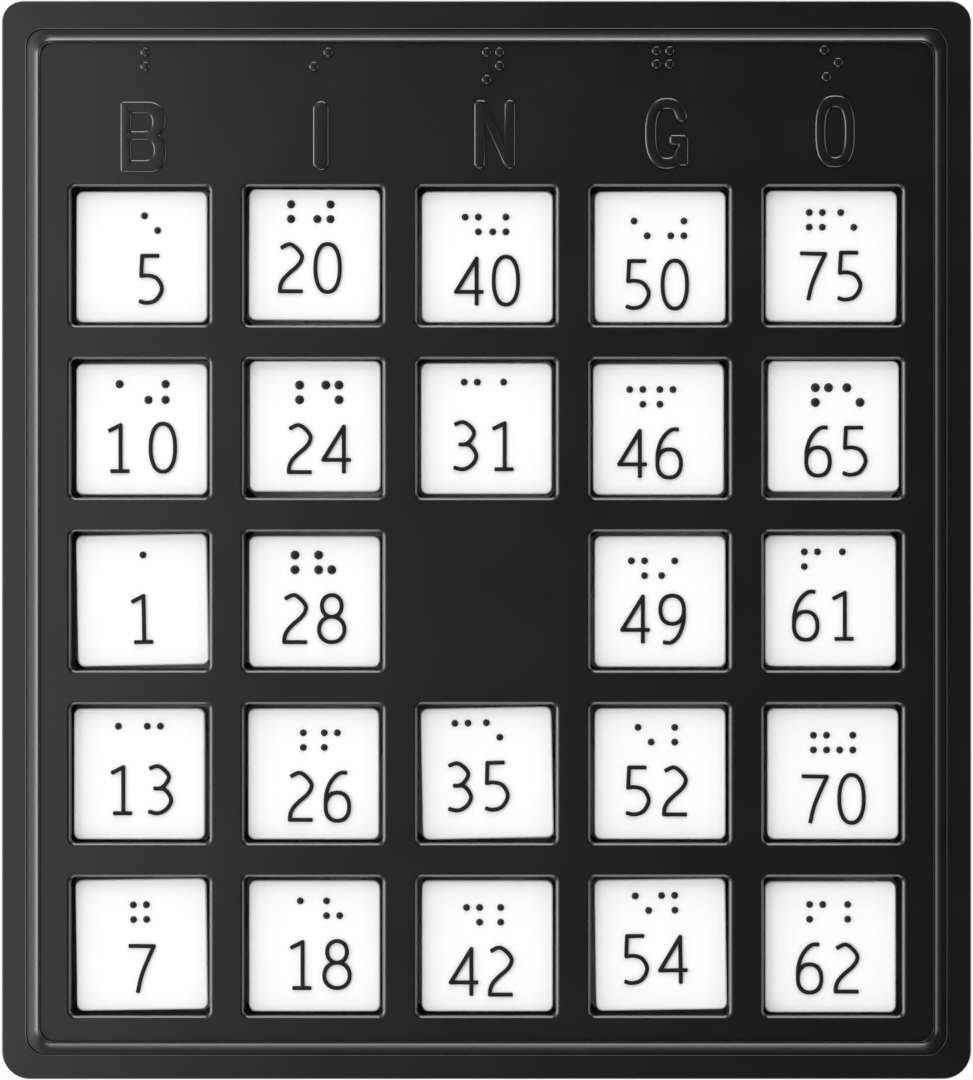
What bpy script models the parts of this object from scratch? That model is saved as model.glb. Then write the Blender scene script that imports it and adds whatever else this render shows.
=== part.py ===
"""Braille bingo board: a bevelled frame, a windowed face plate, a back cover and push-down number tiles.

Metres, +Z up out of the printed side, +Y towards the header. The origin is under the middle of the
board, on the plane that its feet stand on.
"""

import math
from collections import namedtuple

import bmesh
import bpy
from mathutils import Matrix

# Fit between pieces that touch, and how far a cutter runs past what it cuts
GAP = 0.0003
OVERRUN = 0.0010

# Number tiles
TILE_SIDE = 0.0250
TILE_CORNER_RADIUS = 0.0013
TILE_EDGE_FILLET = 0.0004
TILE_PLAY = 0.0006
TILE_RECESS = 0.0016
TILE_TRAVEL = 0.0025
TILE_GUIDE_HEIGHT = 0.0060
TILE_WALL = 0.0012
TILE_CAP_THICKNESS = 0.0014
TILE_RIB = 0.0012
FLANGE_THICKNESS = 0.0010
FLANGE_CATCH = 0.0011
FLANGE_CORNER_RADIUS = 0.0055

# Spring tongues that hold a tile where it is pushed. Only the pad at a tongue's tip rubs.
TONGUE_WIDTH = 0.0060
TONGUE_SLOT = 0.0008
TONGUE_RELIEF = 0.0003
TONGUE_PAD = 0.0011

# Face plate
COLUMN_BAR = 0.0067
ROW_BAR = 0.0066
SIDE_MARGIN = 0.0059
HEADER_MARGIN = 0.02805
BOTTOM_MARGIN = 0.00485
PLATE_THICKNESS = 0.0020
PLATE_CORNER_RADIUS = 0.0025
PLATE_EDGE_BEVEL = 0.00025
WINDOW_CORNER_RADIUS = 0.0009
WINDOW_LIP_RADIUS = 0.0008
SLEEVE_WALL = 0.0012

# Bezel frame
RIM_WIDTH = 0.0049
RIM_DROP = 0.0003
RIM_EDGE_FILLET = 0.0008
RIM_THICKNESS = 0.0018
RIDGE_WIDTH = 0.0025
RIDGE_LAND = 0.0002
RIDGE_CREST_FILLET = 0.0003
RIDGE_STAND = 0.0006
RIDGE_FOOT_GROOVE_WIDTH = 0.0003
RIDGE_FOOT_GROOVE_DEPTH = 0.0002
LEDGE_THICKNESS = 0.0019
FRAME_WALL = 0.0018
FRAME_INNER_WALL = 0.0014
FRAME_FOOT_CHAMFER = 0.0004
UPPER_CORNER_RADIUS = 0.0042
LOWER_CORNER_RADIUS = 0.0056

# Back cover
COVER_THICKNESS = 0.0016
COVER_CHAMFER = 0.0003
FINGER_HOLE_SIDE = 0.0180
FINGER_HOLE_CORNER_RADIUS = 0.0030

# Screws that pull the cover and the face plate together over the frame
SCREW_SHANK_RADIUS = 0.0012
SCREW_HEAD_RADIUS = 0.0024
SCREW_HEAD_HEIGHT = 0.0016
SCREW_HEAD_CROWN = 0.0004
SCREW_TIP = 0.0008
SCREW_ENGAGEMENT = 0.0055
SCREW_SEAT_WEB = 0.0014
COVER_BOSS_WALL = 0.0011
PLATE_BOSS_WALL = 0.0011
PILOT_END_CLEARANCE = 0.0006
HEADER_SCREW_INSET = 0.0120

# Feet
FOOT_RADIUS = 0.0050
FOOT_STAND = 0.0010
FOOT_RECESS = 0.0006
FOOT_BEVEL = 0.0005
FOOT_INSET = 0.0084

# How far along the ridge's slope its middle height is reached; over a half, the slope is hollow
SLOPE_HOLLOW_SHARE = 0.62

# How finely round shapes are faceted, and how close two points of a turned profile are one
FRAME_CORNER_STEPS = 4
WINDOW_CORNER_STEPS = 2
SLEEVE_CORNER_STEPS = 1
TILE_CORNER_STEPS = 1
LIP_STEPS = 2
ROUND_STEPS = 12
TURN_MERGE = 0.000001

# Angles, in degrees: a quarter turn, and the sharpest crease that still shades smooth
QUARTER_TURN = 90
SMOOTH_CREASE = 50

# Rows of numbers from the header down; the middle place is the free one
NUMBER_ROWS = (
    (5, 20, 40, 50, 75),
    (10, 24, 31, 46, 65),
    (1, 28, None, 49, 61),
    (13, 26, 35, 52, 70),
    (7, 18, 42, 54, 62),
)

# How each loose tile lies: its shift along X and Y as shares of its play, and its turn as a share
# of the turn at which it would bind. A shift and the turn together stay under one.
TILE_POSE_SHARES = {
    5: (0.15, -0.15, 0.04),
    20: (0.15, 0.60, -0.13),
    40: (0.45, -0.20, 0.05),
    50: (0.20, -0.15, -0.04),
    75: (-0.25, 0.00, -0.13),
    10: (0.25, -0.25, 0.12),
    24: (0.40, 0.80, 0.02),
    31: (0.00, 0.00, 0.00),
    46: (-0.25, -0.15, 0.05),
    65: (0.40, 0.75, -0.02),
    1: (0.40, 0.35, 0.44),
    28: (0.45, -0.20, 0.05),
    49: (0.25, -0.15, 0.02),
    61: (-0.50, -0.10, -0.02),
    13: (-0.45, -0.15, 0.02),
    26: (-0.05, -0.25, -0.02),
    35: (0.25, 0.05, 0.47),
    52: (0.15, -0.20, 0.05),
    70: (0.45, -0.35, -0.02),
    7: (0.35, 0.30, 0.33),
    18: (0.15, -0.40, 0.07),
    42: (0.25, -0.35, 0.00),
    54: (0.40, 0.20, 0.29),
    62: (-0.65, -0.40, -0.04),
}

# Sizes worked out from the ones above
ROWS = len(NUMBER_ROWS)
COLUMNS = len(NUMBER_ROWS[0])
WINDOW_SIDE = TILE_SIDE + 2 * TILE_PLAY
COLUMN_PITCH = WINDOW_SIDE + COLUMN_BAR
ROW_PITCH = WINDOW_SIDE + ROW_BAR
GRID_WIDTH = COLUMNS * COLUMN_PITCH - COLUMN_BAR
GRID_DEPTH = ROWS * ROW_PITCH - ROW_BAR
PLATE_WIDTH = GRID_WIDTH + 2 * SIDE_MARGIN
PLATE_DEPTH = GRID_DEPTH + HEADER_MARGIN + BOTTOM_MARGIN
GRID_CENTRE_Y = (BOTTOM_MARGIN - HEADER_MARGIN) / 2
FRAME_MARGIN = RIM_WIDTH + RIDGE_WIDTH
BOARD_WIDTH = PLATE_WIDTH + 2 * GAP + 2 * FRAME_MARGIN
BOARD_DEPTH = PLATE_DEPTH + 2 * GAP + 2 * FRAME_MARGIN
FLANGE_SIDE = WINDOW_SIDE + 2 * FLANGE_CATCH
SCREW_HOLE_RADIUS = SCREW_SHANK_RADIUS + GAP
COUNTERBORE_RADIUS = SCREW_HEAD_RADIUS + GAP
COVER_BOSS_RADIUS = COUNTERBORE_RADIUS + COVER_BOSS_WALL
PLATE_BOSS_RADIUS = SCREW_HOLE_RADIUS + PLATE_BOSS_WALL

# Heights, from the table up
COVER_BOTTOM = FOOT_STAND
COVER_TOP = COVER_BOTTOM + COVER_THICKNESS
FLANGE_BOTTOM = COVER_TOP + GAP + TILE_TRAVEL
SLEEVE_BOTTOM = FLANGE_BOTTOM + FLANGE_THICKNESS + GAP
TILE_HEIGHT = FLANGE_THICKNESS + TILE_GUIDE_HEIGHT
PLATE_TOP = FLANGE_BOTTOM + TILE_HEIGHT + TILE_RECESS
PLATE_BOTTOM = PLATE_TOP - PLATE_THICKNESS
CREST_TOP = PLATE_TOP + RIDGE_STAND
RIM_TOP = PLATE_TOP - RIM_DROP
LEDGE_TOP = PLATE_BOTTOM - GAP
SCREW_HEAD_BOTTOM = COVER_BOTTOM + GAP
SCREW_HEAD_TOP = SCREW_HEAD_BOTTOM + SCREW_HEAD_HEIGHT
COUNTERBORE_TOP = SCREW_HEAD_TOP + GAP
COVER_BOSS_TOP = COUNTERBORE_TOP + SCREW_SEAT_WEB
PLATE_BOSS_BOTTOM = COVER_BOSS_TOP + GAP
SCREW_END = PLATE_BOSS_BOTTOM + SCREW_ENGAGEMENT
PILOT_TOP = SCREW_END + PILOT_END_CLEARANCE

Section = namedtuple("Section", "width depth z upper_radius lower_radius")


def square_section(side, z, radius):
    """A square section with four equal corners."""
    return Section(side, side, z, radius, radius)


def rounded_outline(section, steps):
    """Points of a section, counter-clockwise; upper and lower corners have their own radii."""
    corners = (
        (1, 1, section.upper_radius),
        (-1, 1, section.upper_radius),
        (-1, -1, section.lower_radius),
        (1, -1, section.lower_radius),
    )
    points = []
    for quarter, (side_x, side_y, radius) in enumerate(corners):
        centre_x = side_x * (section.width / 2 - radius)
        centre_y = side_y * (section.depth / 2 - radius)
        for step in range(steps + 1):
            angle = math.radians(QUARTER_TURN * (quarter + step / steps))
            points.append((centre_x + radius * math.cos(angle), centre_y + radius * math.sin(angle)))
    return points


def new_object(name, mesh, collection):
    """An object for a mesh, linked to a collection."""
    piece = bpy.data.objects.new(name, mesh)
    collection.objects.link(piece)
    return piece


def mesh_from(name, bm):
    """A mesh from a bmesh, with its faces pointing out."""
    bmesh.ops.recalc_face_normals(bm, faces=bm.faces)
    mesh = bpy.data.meshes.new(name)
    bm.to_mesh(mesh)
    bm.free()
    mesh.shade_smooth()
    mesh.set_sharp_from_angle(angle=math.radians(SMOOTH_CREASE))
    return mesh


def loft(name, sections, steps, collection, ring=False):
    """Skin rounded sections in order. A ring joins its last to its first; others get flat ends."""
    bm = bmesh.new()
    loops = []
    for section in sections:
        loops.append([bm.verts.new((x, y, section.z)) for x, y in rounded_outline(section, steps)])
    pairs = list(zip(loops, loops[1:]))
    if ring:
        pairs.append((loops[-1], loops[0]))
    for lower, upper in pairs:
        for index, corner in enumerate(lower):
            after = (index + 1) % len(lower)
            bm.faces.new((corner, lower[after], upper[after], upper[index]))
    if not ring:
        bm.faces.new(loops[0])
        bm.faces.new(loops[-1])
    return new_object(name, mesh_from(name, bm), collection)


def turned(name, profile, steps, collection):
    """Turn a profile of (radius, height) points, listed from the top down, about Z."""
    mesh = bpy.data.meshes.new(name)
    points = [(radius, 0, height) for radius, height in profile]
    edges = [(index, index + 1) for index in range(len(points) - 1)]
    mesh.from_pydata(points, edges, [])
    piece = new_object(name, mesh, collection)
    screw = piece.modifiers.new("turn", "SCREW")
    screw.steps = steps
    screw.render_steps = steps
    screw.use_merge_vertices = True
    screw.merge_threshold = TURN_MERGE
    screw.use_smooth_shade = True
    return piece


def block(name, size, centre, collection):
    """A box of a given size about a centre."""
    bm = bmesh.new()
    bmesh.ops.create_cube(bm, size=1)
    bmesh.ops.scale(bm, vec=size, verts=bm.verts)
    bmesh.ops.translate(bm, vec=centre, verts=bm.verts)
    return new_object(name, mesh_from(name, bm), collection)


def evaluated_mesh(piece):
    """A plain mesh of a piece with its modifiers applied."""
    bpy.context.view_layer.update()
    depsgraph = bpy.context.evaluated_depsgraph_get()
    return bpy.data.meshes.new_from_object(piece.evaluated_get(depsgraph))


def stamped(name, patterns, collection):
    """One object made of patterns, each repeated at its own matrices; the patterns themselves go."""
    bm = bmesh.new()
    for pattern, matrices in patterns:
        source = evaluated_mesh(pattern)
        for matrix in matrices:
            copy = source.copy()
            copy.transform(matrix)
            bm.from_mesh(copy)
            bpy.data.meshes.remove(copy)
        bpy.data.objects.remove(pattern)
        bpy.data.meshes.remove(source)
    return new_object(name, mesh_from(name, bm), collection)


def at_places(places):
    """A shift for each place in the plane of the board."""
    return [Matrix.Translation((x, y, 0)) for x, y in places]


def combine(piece, tool, operation):
    """Cut or join a tool into a piece, and keep the tool as a guide."""
    modifier = piece.modifiers.new(tool.name, "BOOLEAN")
    modifier.operation = operation
    modifier.solver = "EXACT"
    modifier.object = tool
    tool.hide_render = True
    tool.display_type = "WIRE"


def finish(name, colour, roughness, metallic=0.0):
    """A material with one plain colour."""
    material = bpy.data.materials.new(name)
    material.use_nodes = True
    shader = material.node_tree.nodes["Principled BSDF"]
    shader.inputs["Base Color"].default_value = (*colour, 1.0)
    shader.inputs["Roughness"].default_value = roughness
    shader.inputs["Metallic"].default_value = metallic
    return material


def cell_centre(row, column):
    """Where a place of the grid lies on the board."""
    x = (column - (COLUMNS - 1) / 2) * COLUMN_PITCH
    y = GRID_CENTRE_Y - (row - (ROWS - 1) / 2) * ROW_PITCH
    return x, y


def numbered_cells():
    """Each number with its row and column; the free place has none."""
    cells = []
    for row, numbers in enumerate(NUMBER_ROWS):
        for column, number in enumerate(numbers):
            if number is not None:
                cells.append((number, row, column))
    return cells


def free_cell():
    """Row and column of the place with no number."""
    for row, numbers in enumerate(NUMBER_ROWS):
        if None in numbers:
            return row, numbers.index(None)
    raise ValueError("the grid has no free place")


def screw_places():
    """Four crossings of the bars, two places in the header, and the middle of the free place."""
    reach_x = (COLUMNS / 2 - 1) * COLUMN_PITCH
    reach_y = (ROWS / 2 - 1) * ROW_PITCH
    places = []
    for side_y in (1, -1):
        for side_x in (-1, 1):
            places.append((side_x * reach_x, GRID_CENTRE_Y + side_y * reach_y))
    header_x = PLATE_WIDTH / 2 - HEADER_SCREW_INSET
    header_y = PLATE_DEPTH / 2 - HEADER_SCREW_INSET
    places += [(-header_x, header_y), (header_x, header_y)]
    places.append(cell_centre(*free_cell()))
    return places


def foot_places():
    """Each foot's name with its place, in the corners of the cover."""
    reach_x = BOARD_WIDTH / 2 - FOOT_INSET - FRAME_WALL
    reach_y = BOARD_DEPTH / 2 - FOOT_INSET - FRAME_WALL
    return {
        "foot_front_left": (-reach_x, -reach_y),
        "foot_front_right": (reach_x, -reach_y),
        "foot_back_left": (-reach_x, reach_y),
        "foot_back_right": (reach_x, reach_y),
    }


def board_section(inset, z):
    """A section of the board's outline drawn in by an inset; its corners tighten towards the opening."""
    share = min(inset / FRAME_MARGIN, 1)
    opening_radius = PLATE_CORNER_RADIUS + GAP
    upper = UPPER_CORNER_RADIUS + (opening_radius - UPPER_CORNER_RADIUS) * share
    lower = LOWER_CORNER_RADIUS + (opening_radius - LOWER_CORNER_RADIUS) * share
    return Section(BOARD_WIDTH - 2 * inset, BOARD_DEPTH - 2 * inset, z, upper, lower)


def arc_shares(steps):
    """Cosine and sine at equal steps over a quarter turn."""
    angles = [math.radians(QUARTER_TURN * step / steps) for step in range(steps + 1)]
    return [(math.cos(angle), math.sin(angle)) for angle in angles]


def frame_profile():
    """The frame's wall as (inset, height) points: outside, rim, ridge, opening, ledge and hollow back."""
    rim_fillet = [
        (RIM_EDGE_FILLET * (1 - cosine), RIM_TOP - RIM_EDGE_FILLET * (1 - sine))
        for cosine, sine in arc_shares(LIP_STEPS)
    ]
    groove_middle = RIM_WIDTH + RIDGE_FOOT_GROOVE_WIDTH / 2
    slope_foot = RIM_WIDTH + RIDGE_FOOT_GROOVE_WIDTH
    crest_start = FRAME_MARGIN - RIDGE_LAND - RIDGE_CREST_FILLET
    crest_fillet = [
        (crest_start + RIDGE_CREST_FILLET * (1 - cosine), CREST_TOP - RIDGE_CREST_FILLET * (1 - sine))
        for cosine, sine in arc_shares(LIP_STEPS)
    ]
    middle_inset = slope_foot + (crest_start - slope_foot) * SLOPE_HOLLOW_SHARE
    slope_middle = (middle_inset, (RIM_TOP + CREST_TOP) / 2)
    inner_face = FRAME_MARGIN + FRAME_INNER_WALL
    return [
        (FRAME_FOOT_CHAMFER, COVER_BOTTOM),
        (0, COVER_BOTTOM + FRAME_FOOT_CHAMFER),
        *rim_fillet,
        (RIM_WIDTH, RIM_TOP),
        (groove_middle, RIM_TOP - RIDGE_FOOT_GROOVE_DEPTH),
        (slope_foot, RIM_TOP),
        slope_middle,
        *crest_fillet,
        (FRAME_MARGIN, CREST_TOP),
        (FRAME_MARGIN, LEDGE_TOP),
        (inner_face, LEDGE_TOP),
        (inner_face, COVER_TOP + GAP),
        (FRAME_MARGIN, COVER_TOP + GAP),
        (FRAME_MARGIN, LEDGE_TOP - LEDGE_THICKNESS),
        (RIM_WIDTH, LEDGE_TOP - LEDGE_THICKNESS),
        (RIM_WIDTH, RIM_TOP - RIM_THICKNESS),
        (FRAME_WALL, RIM_TOP - RIM_THICKNESS),
        (FRAME_WALL, COVER_BOTTOM),
    ]


def make_bezel_frame(parts):
    """The outer moulding: a flat rim, the bevelled ridge and the ledge that carries the face plate."""
    sections = [board_section(inset, z) for inset, z in frame_profile()]
    return loft("bezel_frame", sections, FRAME_CORNER_STEPS, parts, ring=True)


def window_sections():
    """A window from under its sleeve up to the face, where its lip flares past the surface."""
    flare = []
    for cosine, sine in arc_shares(LIP_STEPS):
        spread = WINDOW_LIP_RADIUS * (1 - cosine)
        flare.append((spread, PLATE_TOP - WINDOW_LIP_RADIUS * (1 - sine)))
    (inner_spread, inner_z), (edge_spread, edge_z) = flare[-2:]
    past_edge = (2 * edge_spread - inner_spread, 2 * edge_z - inner_z)
    steps = [(0, SLEEVE_BOTTOM - OVERRUN)] + flare[:-1] + [past_edge]
    sections = []
    for spread, z in steps:
        sections.append(square_section(WINDOW_SIDE + 2 * spread, z, WINDOW_CORNER_RADIUS + spread))
    return sections


def make_face_plate(parts, cutters):
    """The inner moulding: a plate with filleted windows, sleeves that guide tiles, and screw bosses."""
    sections = []
    for inset, z in ((0, PLATE_BOTTOM), (0, PLATE_TOP - PLATE_EDGE_BEVEL), (PLATE_EDGE_BEVEL, PLATE_TOP)):
        radius = PLATE_CORNER_RADIUS - inset
        sections.append(Section(PLATE_WIDTH - 2 * inset, PLATE_DEPTH - 2 * inset, z, radius, radius))
    plate = loft("face_plate", sections, FRAME_CORNER_STEPS, parts)

    cells = at_places(cell_centre(row, column) for _, row, column in numbered_cells())
    screws = at_places(screw_places())
    plate_middle = (PLATE_BOTTOM + PLATE_TOP) / 2
    sleeve_side = WINDOW_SIDE + 2 * SLEEVE_WALL
    sleeve_radius = WINDOW_CORNER_RADIUS + SLEEVE_WALL
    sleeve = [square_section(sleeve_side, z, sleeve_radius) for z in (SLEEVE_BOTTOM, plate_middle)]
    sleeve_blank = loft("sleeve_blank", sleeve, SLEEVE_CORNER_STEPS, cutters)
    boss = [(0, plate_middle), (PLATE_BOSS_RADIUS, plate_middle), (PLATE_BOSS_RADIUS, PLATE_BOSS_BOTTOM)]
    boss.append((0, PLATE_BOSS_BOTTOM))
    boss_blank = turned("boss_blank", boss, ROUND_STEPS, cutters)
    backing = stamped("plate_backing", [(sleeve_blank, cells), (boss_blank, screws)], cutters)
    combine(plate, backing, "UNION")

    window_blank = loft("window_blank", window_sections(), WINDOW_CORNER_STEPS, cutters)
    pilot_bottom = PLATE_BOSS_BOTTOM - OVERRUN
    pilot = [(0, PILOT_TOP), (SCREW_HOLE_RADIUS, PILOT_TOP)]
    pilot += [(SCREW_HOLE_RADIUS, pilot_bottom), (0, pilot_bottom)]
    pilot_blank = turned("pilot_blank", pilot, ROUND_STEPS, cutters)
    holes = stamped("plate_holes", [(window_blank, cells), (pilot_blank, screws)], cutters)
    combine(plate, holes, "DIFFERENCE")
    return plate


def make_back_cover(parts, cutters):
    """The cover: a flat panel with a finger hole behind every tile, screw bosses and foot recesses."""
    edge = FRAME_WALL + GAP
    cover = loft(
        "back_cover",
        [
            board_section(edge + COVER_CHAMFER, COVER_BOTTOM),
            board_section(edge, COVER_BOTTOM + COVER_CHAMFER),
            board_section(edge, COVER_TOP),
        ],
        FRAME_CORNER_STEPS,
        parts,
    )

    screws = at_places(screw_places())
    cover_middle = (COVER_BOTTOM + COVER_TOP) / 2
    boss = [(0, COVER_BOSS_TOP), (COVER_BOSS_RADIUS, COVER_BOSS_TOP)]
    boss += [(COVER_BOSS_RADIUS, cover_middle), (0, cover_middle)]
    boss_blank = turned("cover_boss_blank", boss, ROUND_STEPS, cutters)
    combine(cover, stamped("cover_bosses", [(boss_blank, screws)], cutters), "UNION")

    hole = [
        square_section(FINGER_HOLE_SIDE, z, FINGER_HOLE_CORNER_RADIUS)
        for z in (COVER_BOTTOM - OVERRUN, COVER_TOP + OVERRUN)
    ]
    hole_blank = loft("finger_hole_blank", hole, WINDOW_CORNER_STEPS, cutters)
    seat = [
        (0, COVER_BOSS_TOP + OVERRUN),
        (SCREW_HOLE_RADIUS, COVER_BOSS_TOP + OVERRUN),
        (SCREW_HOLE_RADIUS, COUNTERBORE_TOP),
        (COUNTERBORE_RADIUS, COUNTERBORE_TOP),
        (COUNTERBORE_RADIUS, COVER_BOTTOM - OVERRUN),
        (0, COVER_BOTTOM - OVERRUN),
    ]
    seat_blank = turned("screw_seat_blank", seat, ROUND_STEPS, cutters)
    recess_radius = FOOT_RADIUS + GAP
    recess = [(0, COVER_BOTTOM + FOOT_RECESS), (recess_radius, COVER_BOTTOM + FOOT_RECESS)]
    recess += [(recess_radius, COVER_BOTTOM - OVERRUN), (0, COVER_BOTTOM - OVERRUN)]
    recess_blank = turned("foot_recess_blank", recess, ROUND_STEPS, cutters)
    cells = at_places(cell_centre(row, column) for _, row, column in numbered_cells())
    feet = at_places(foot_places().values())
    holes = [(hole_blank, cells), (seat_blank, screws), (recess_blank, feet)]
    combine(cover, stamped("cover_holes", holes, cutters), "DIFFERENCE")
    return cover


def tongue_slot_outline(root, end):
    """The slot round a spring tongue, as points across and up the tile's wall."""
    half = TONGUE_WIDTH / 2
    outer = half + TONGUE_SLOT
    return [
        (outer, root),
        (outer, end),
        (-outer, end),
        (-outer, root),
        (-half, root),
        (-half, end - TONGUE_SLOT),
        (half, end - TONGUE_SLOT),
        (half, root),
    ]


def upright_prism(name, outline, near_y, far_y, collection):
    """Extrude an outline of (x, z) points from one Y to another."""
    bm = bmesh.new()
    face = bm.faces.new([bm.verts.new((x, near_y, z)) for x, z in outline])
    grown = bmesh.ops.extrude_face_region(bm, geom=[face])
    moved = [item for item in grown["geom"] if isinstance(item, bmesh.types.BMVert)]
    bmesh.ops.translate(bm, vec=(0, far_y - near_y, 0), verts=moved)
    return new_object(name, mesh_from(name, bm), collection)


def tile_mesh(cutters):
    """The mesh that all tiles share: a capped square, a flange, a ribbed back and two spring tongues."""
    half = TILE_SIDE / 2
    face = TILE_HEIGHT
    flange = [square_section(FLANGE_SIDE, z, FLANGE_CORNER_RADIUS) for z in (0, FLANGE_THICKNESS)]
    wall_heights = (FLANGE_THICKNESS, face - TILE_EDGE_FILLET)
    walls = [square_section(TILE_SIDE, z, TILE_CORNER_RADIUS) for z in wall_heights]
    cap_side = TILE_SIDE - 2 * TILE_EDGE_FILLET
    cap = [square_section(cap_side, face, TILE_CORNER_RADIUS - TILE_EDGE_FILLET)]
    blank = loft("tile_blank", flange + walls + cap, TILE_CORNER_STEPS, cutters)

    ceiling = face - TILE_CAP_THICKNESS
    pocket_side = half - TILE_WALL - TILE_RIB / 2
    pocket_centre = (TILE_RIB + pocket_side) / 2
    pocket_height = ceiling + OVERRUN
    pocket_size = (pocket_side, pocket_side, pocket_height)
    pocket = block("pocket_blank", pocket_size, (0, 0, ceiling - pocket_height / 2), cutters)
    quarters = [(x, y) for x in (-pocket_centre, pocket_centre) for y in (-pocket_centre, pocket_centre)]
    combine(blank, stamped("tile_pockets", [(pocket, at_places(quarters))], cutters), "DIFFERENCE")

    half_turn = Matrix.Rotation(math.radians(2 * QUARTER_TURN), 4, "Z")
    across = Matrix.Translation((pocket_centre, 0, 0))
    both_sides = (across, half_turn @ across)
    root = FLANGE_THICKNESS + TONGUE_SLOT
    end = ceiling - TONGUE_RELIEF
    inside = half - TILE_WALL - OVERRUN
    slot = upright_prism("slot_blank", tongue_slot_outline(root, end), inside, half + OVERRUN, cutters)
    combine(blank, stamped("tongue_slots", [(slot, both_sides)], cutters), "DIFFERENCE")

    relief_bottom = root + TONGUE_RELIEF
    relief_top = end - TONGUE_SLOT - TONGUE_PAD
    relief_depth = TONGUE_RELIEF + OVERRUN
    relief = block(
        "relief_blank",
        (TONGUE_WIDTH + TONGUE_SLOT, relief_depth, relief_top - relief_bottom),
        (0, half - TONGUE_RELIEF + relief_depth / 2, (relief_top + relief_bottom) / 2),
        cutters,
    )
    combine(blank, stamped("tongue_reliefs", [(relief, both_sides)], cutters), "DIFFERENCE")

    mesh = evaluated_mesh(blank)
    mesh.name = "number_tile"
    for guide in ("tile_pockets", "tongue_slots", "tongue_reliefs"):
        bpy.data.objects.remove(bpy.data.objects[guide])
    bpy.data.objects.remove(blank)
    return mesh


def make_tiles(parts, cutters):
    """The loose tiles, each lying in its own window a little off centre and a little turned."""
    shared = tile_mesh(cutters)
    binding_turn = math.atan(TILE_PLAY / (TILE_SIDE / 2))
    tiles = []
    for number, row, column in numbered_cells():
        x, y = cell_centre(row, column)
        shift_x_share, shift_y_share, turn_share = TILE_POSE_SHARES[number]
        tile = new_object(f"number_tile_{number:02d}", shared, parts)
        tile.location = (x + shift_x_share * TILE_PLAY, y + shift_y_share * TILE_PLAY, FLANGE_BOTTOM)
        tile.rotation_euler.z = turn_share * binding_turn
        tiles.append(tile)
    return tiles


def make_screws(parts):
    """Pan-head screws, driven from behind through the cover into the bosses of the face plate."""
    head_edge = SCREW_HEAD_RADIUS - SCREW_HEAD_CROWN
    profile = [
        (0, SCREW_END),
        (SCREW_SHANK_RADIUS, SCREW_END - SCREW_TIP),
        (SCREW_SHANK_RADIUS, SCREW_HEAD_TOP),
        (SCREW_HEAD_RADIUS, SCREW_HEAD_TOP),
        (SCREW_HEAD_RADIUS, SCREW_HEAD_BOTTOM + SCREW_HEAD_CROWN),
        (head_edge, SCREW_HEAD_BOTTOM),
        (0, SCREW_HEAD_BOTTOM),
    ]
    screws = []
    for index, (x, y) in enumerate(screw_places(), start=1):
        screw = turned(f"cover_screw_{index}", profile, ROUND_STEPS, parts)
        screw.location = (x, y, 0)
        screws.append(screw)
    return screws


def make_feet(parts):
    """Round rubber feet, set in shallow recesses of the cover."""
    foot_top = COVER_BOTTOM + FOOT_RECESS - GAP
    profile = [(0, foot_top), (FOOT_RADIUS, foot_top), (FOOT_RADIUS, FOOT_BEVEL)]
    profile += [(FOOT_RADIUS - FOOT_BEVEL, 0), (0, 0)]
    feet = []
    for name, (x, y) in foot_places().items():
        foot = turned(name, profile, ROUND_STEPS, parts)
        foot.location = (x, y, 0)
        feet.append(foot)
    return feet


def dress(pieces, material):
    """Give pieces one material."""
    for piece in pieces:
        piece.data.materials.clear()
        piece.data.materials.append(material)


def build():
    """Model the whole board."""
    for old in list(bpy.data.objects):
        bpy.data.objects.remove(old)
    parts = bpy.data.collections.new("braille_bingo_board")
    cutters = bpy.data.collections.new("cutters")
    for collection in (parts, cutters):
        bpy.context.scene.collection.children.link(collection)

    black = finish("black_plastic", (0.030, 0.030, 0.032), 0.42)
    back = finish("back_plastic", (0.026, 0.026, 0.028), 0.55)
    white = finish("white_plastic", (0.86, 0.86, 0.86), 0.35)
    steel = finish("zinc_steel", (0.62, 0.62, 0.64), 0.32, 1.0)
    rubber = finish("black_rubber", (0.020, 0.020, 0.020), 0.80)

    dress([make_bezel_frame(parts)], black)
    dress([make_face_plate(parts, cutters)], black)
    dress([make_back_cover(parts, cutters)], back)
    dress(make_tiles(parts, cutters), white)
    dress(make_screws(parts), steel)
    dress(make_feet(parts), rubber)


build()
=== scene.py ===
"""Braille bingo board: the looks of its moulded frame, windowed plate, number tiles and raised print."""

import logging
import math
from dataclasses import dataclass, field
from enum import Enum

import bmesh
import bpy
from mathutils import Matrix, Vector
from mathutils.geometry import delaunay_2d_cdt

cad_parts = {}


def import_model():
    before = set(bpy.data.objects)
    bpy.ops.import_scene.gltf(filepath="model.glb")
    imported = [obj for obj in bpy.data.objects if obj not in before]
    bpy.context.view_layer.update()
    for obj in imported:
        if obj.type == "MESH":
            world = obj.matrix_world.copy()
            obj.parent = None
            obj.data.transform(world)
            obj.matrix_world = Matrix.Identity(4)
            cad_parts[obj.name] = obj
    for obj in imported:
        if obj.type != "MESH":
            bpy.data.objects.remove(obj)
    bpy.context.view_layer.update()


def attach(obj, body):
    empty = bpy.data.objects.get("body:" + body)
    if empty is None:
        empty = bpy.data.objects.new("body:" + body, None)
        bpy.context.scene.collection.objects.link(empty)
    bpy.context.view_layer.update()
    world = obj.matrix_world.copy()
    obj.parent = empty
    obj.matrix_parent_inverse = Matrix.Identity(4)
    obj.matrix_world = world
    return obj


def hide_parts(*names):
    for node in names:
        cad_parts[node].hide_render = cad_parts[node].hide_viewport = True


LOG = logging.getLogger("braille_bingo_board")
MM = 0.001
OVERRUN = 1.0 * MM
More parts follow.
